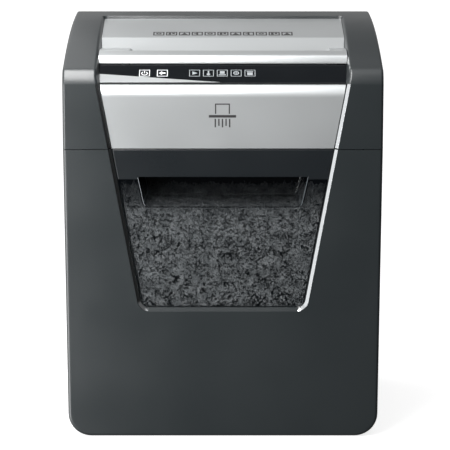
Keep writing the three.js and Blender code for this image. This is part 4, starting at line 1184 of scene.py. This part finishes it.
# ---- stage, light, camera ----
def world():
    """Soft boxes in front, overhead and behind, a dim fill from the sides, and a white backdrop."""
    made = bpy.data.worlds.new("studio")
    bpy.context.scene.world = made
    made.use_nodes = True
    made.node_tree.nodes.clear()
    n = Nodes(made.node_tree)
    way = n.add("ShaderNodeSeparateXYZ", Vector=n.add("ShaderNodeTexCoord").outputs["Generated"])
    x, y, z = way.outputs
    lean = n.math("ARCTAN2", z, n.math("MULTIPLY", y, -1.0))  # 0 in front, a quarter turn overhead

    def between(rise, fall):
        """1 between two angles in degrees, each given as (start, end) of its soft edge."""
        up = n.ramp(lean, math.radians(rise[0]), math.radians(rise[1]))
        down = n.ramp(lean, math.radians(fall[0]), math.radians(fall[1]), 1.0, 0.0)
        return n.math("MULTIPLY", up, down)

    low_box = n.math("MULTIPLY", between((10, 26), (40, 60)), 0.35)
    high_box = n.math("MULTIPLY", between((40, 60), (103, 107)), 1.0)
    rear_box = n.math("MULTIPLY", between((117, 121), (128, 140)), 0.85)
    rear_glow = n.math("MULTIPLY", between((128, 140), (172, 180)), 0.11)
    boxes = n.math("ADD", n.math("ADD", low_box, high_box), n.math("ADD", rear_box, rear_glow))
    across = n.math("MULTIPLY", n.ramp(x, -0.9, -0.6), n.ramp(x, 0.15, 0.55, 1.0, 0.12))
    boxes = n.math("MULTIPLY", boxes, across)
    left = n.math("MULTIPLY", n.ramp(x, -0.45, -0.8), n.ramp(z, 0.75, 0.4))
    side = n.ramp(x, -1.0, 0.9, 0.16, 0.02)
    right = n.math("MULTIPLY", n.ramp(x, 0.6, 0.9), n.ramp(y, 0.1, 0.45, 0.0, 0.4))
    behind = n.math("MULTIPLY", n.ramp(y, 0.3, 0.7), n.ramp(z, 0.4, 0.2, 0.0, 0.3))
    light = n.math("ADD", side, n.math("ADD", boxes, n.math("MULTIPLY", left, 1.1)))
    light = n.math("ADD", light, n.math("ADD", right, behind))
    see = n.add("ShaderNodeLightPath").outputs["Is Camera Ray"]
    glow = n.add("ShaderNodeBackground", Color=(1, 1, 1, 1), Strength=light)
    white = n.add("ShaderNodeBackground", Color=(1, 1, 1, 1), Strength=1.0)
    pick = n.tree.nodes.new("ShaderNodeMixShader")
    n.feed(pick.inputs[0], see)
    n.feed(pick.inputs[1], glow.outputs[0])
    n.feed(pick.inputs[2], white.outputs[0])
    n.add("ShaderNodeOutputWorld", Surface=pick.outputs[0])


def floor():
    bm = bmesh.new()
    bmesh.ops.create_grid(bm, x_segments=2, y_segments=2, size=30)
    obj = mesh_object("floor", bm, scale=1)
    material = bpy.data.materials.new("pale_floor")
    material.use_nodes = True
    shader = material.node_tree.nodes["Principled BSDF"]
    shader.inputs["Base Color"].default_value = (0.55, 0.55, 0.55, 1)
    shader.inputs["Roughness"].default_value = 0.9
    shader.inputs["Emission Color"].default_value = (1, 1, 1, 1)
    shader.inputs["Emission Strength"].default_value = 0.8
    obj.data.materials.append(material)
    obj.visible_glossy = False
    obj.visible_diffuse = False
    obj.visible_shadow = False


def lamp(name, place, aim, size, power):
    data = bpy.data.lights.new(name, "AREA")
    data.shape = "RECTANGLE"
    data.size, data.size_y = size
    data.energy = power
    obj = bpy.data.objects.new(name, data)
    obj.location = place
    obj.rotation_euler = (Vector(aim) - Vector(place)).to_track_quat("-Z", "Y").to_euler()
    bpy.context.scene.collection.objects.link(obj)


def camera():
    """A long lens, a little above, looking straight at the front."""
    tilt = math.radians(12)
    reach = 3.0
    target = Vector((0, 0, 0.225))
    data = bpy.data.cameras.new("camera")
    data.sensor_width = 36.0
    data.lens = 207.24
    data.shift_x = 0.0046
    data.shift_y = -0.016
    data.clip_end = 200
    obj = bpy.data.objects.new("camera", data)
    obj.location = target + Vector((0, -reach * math.cos(tilt), reach * math.sin(tilt)))
    obj.rotation_euler = (math.pi / 2 - tilt, 0, 0)
    bpy.context.scene.collection.objects.link(obj)
    bpy.context.scene.camera = obj


camera()
world()
floor()
lamp("key", (-0.53, -0.62, 0.1), (-0.1, -0.13, 0.2), (0.45, 0.7), 5.9)
lamp("bend", (-0.27, -0.6, 1.06), (-0.27, -0.125, 0.41), (0.3, 1.0), 14.5)
lamp("rim", (-0.34, 0.45, 0.85), (-0.12, 0.0, 0.43), (0.4, 0.5), 0.5)
bpy.context.scene.view_settings.view_transform = "Standard"

head_shell()
front_fascia()
throat_bezel()
edge_strip("head_edge_left", -1, SEAM + 0.4, STRIP_TOP, "cabinet", ("head_trim_left",))
edge_strip("head_edge_right", 1, SEAM + 0.4, STRIP_TOP, "cabinet", ("head_trim_right",))
edge_strip("bin_edge_left", -1, None, BIN_TOP, "bin", ("bin_trim_left",))
edge_strip("bin_edge_right", 1, None, BIN_TOP, "bin", ("bin_trim_right",))
cut_key_wells(control_panel())
glyphs()
rear_pictograms()
fascia_sign()
bin_front()
pull_handle()
bin_window()
scoop_painted_highlights_and_shadow()
shredded_paper()
dress_nodes()
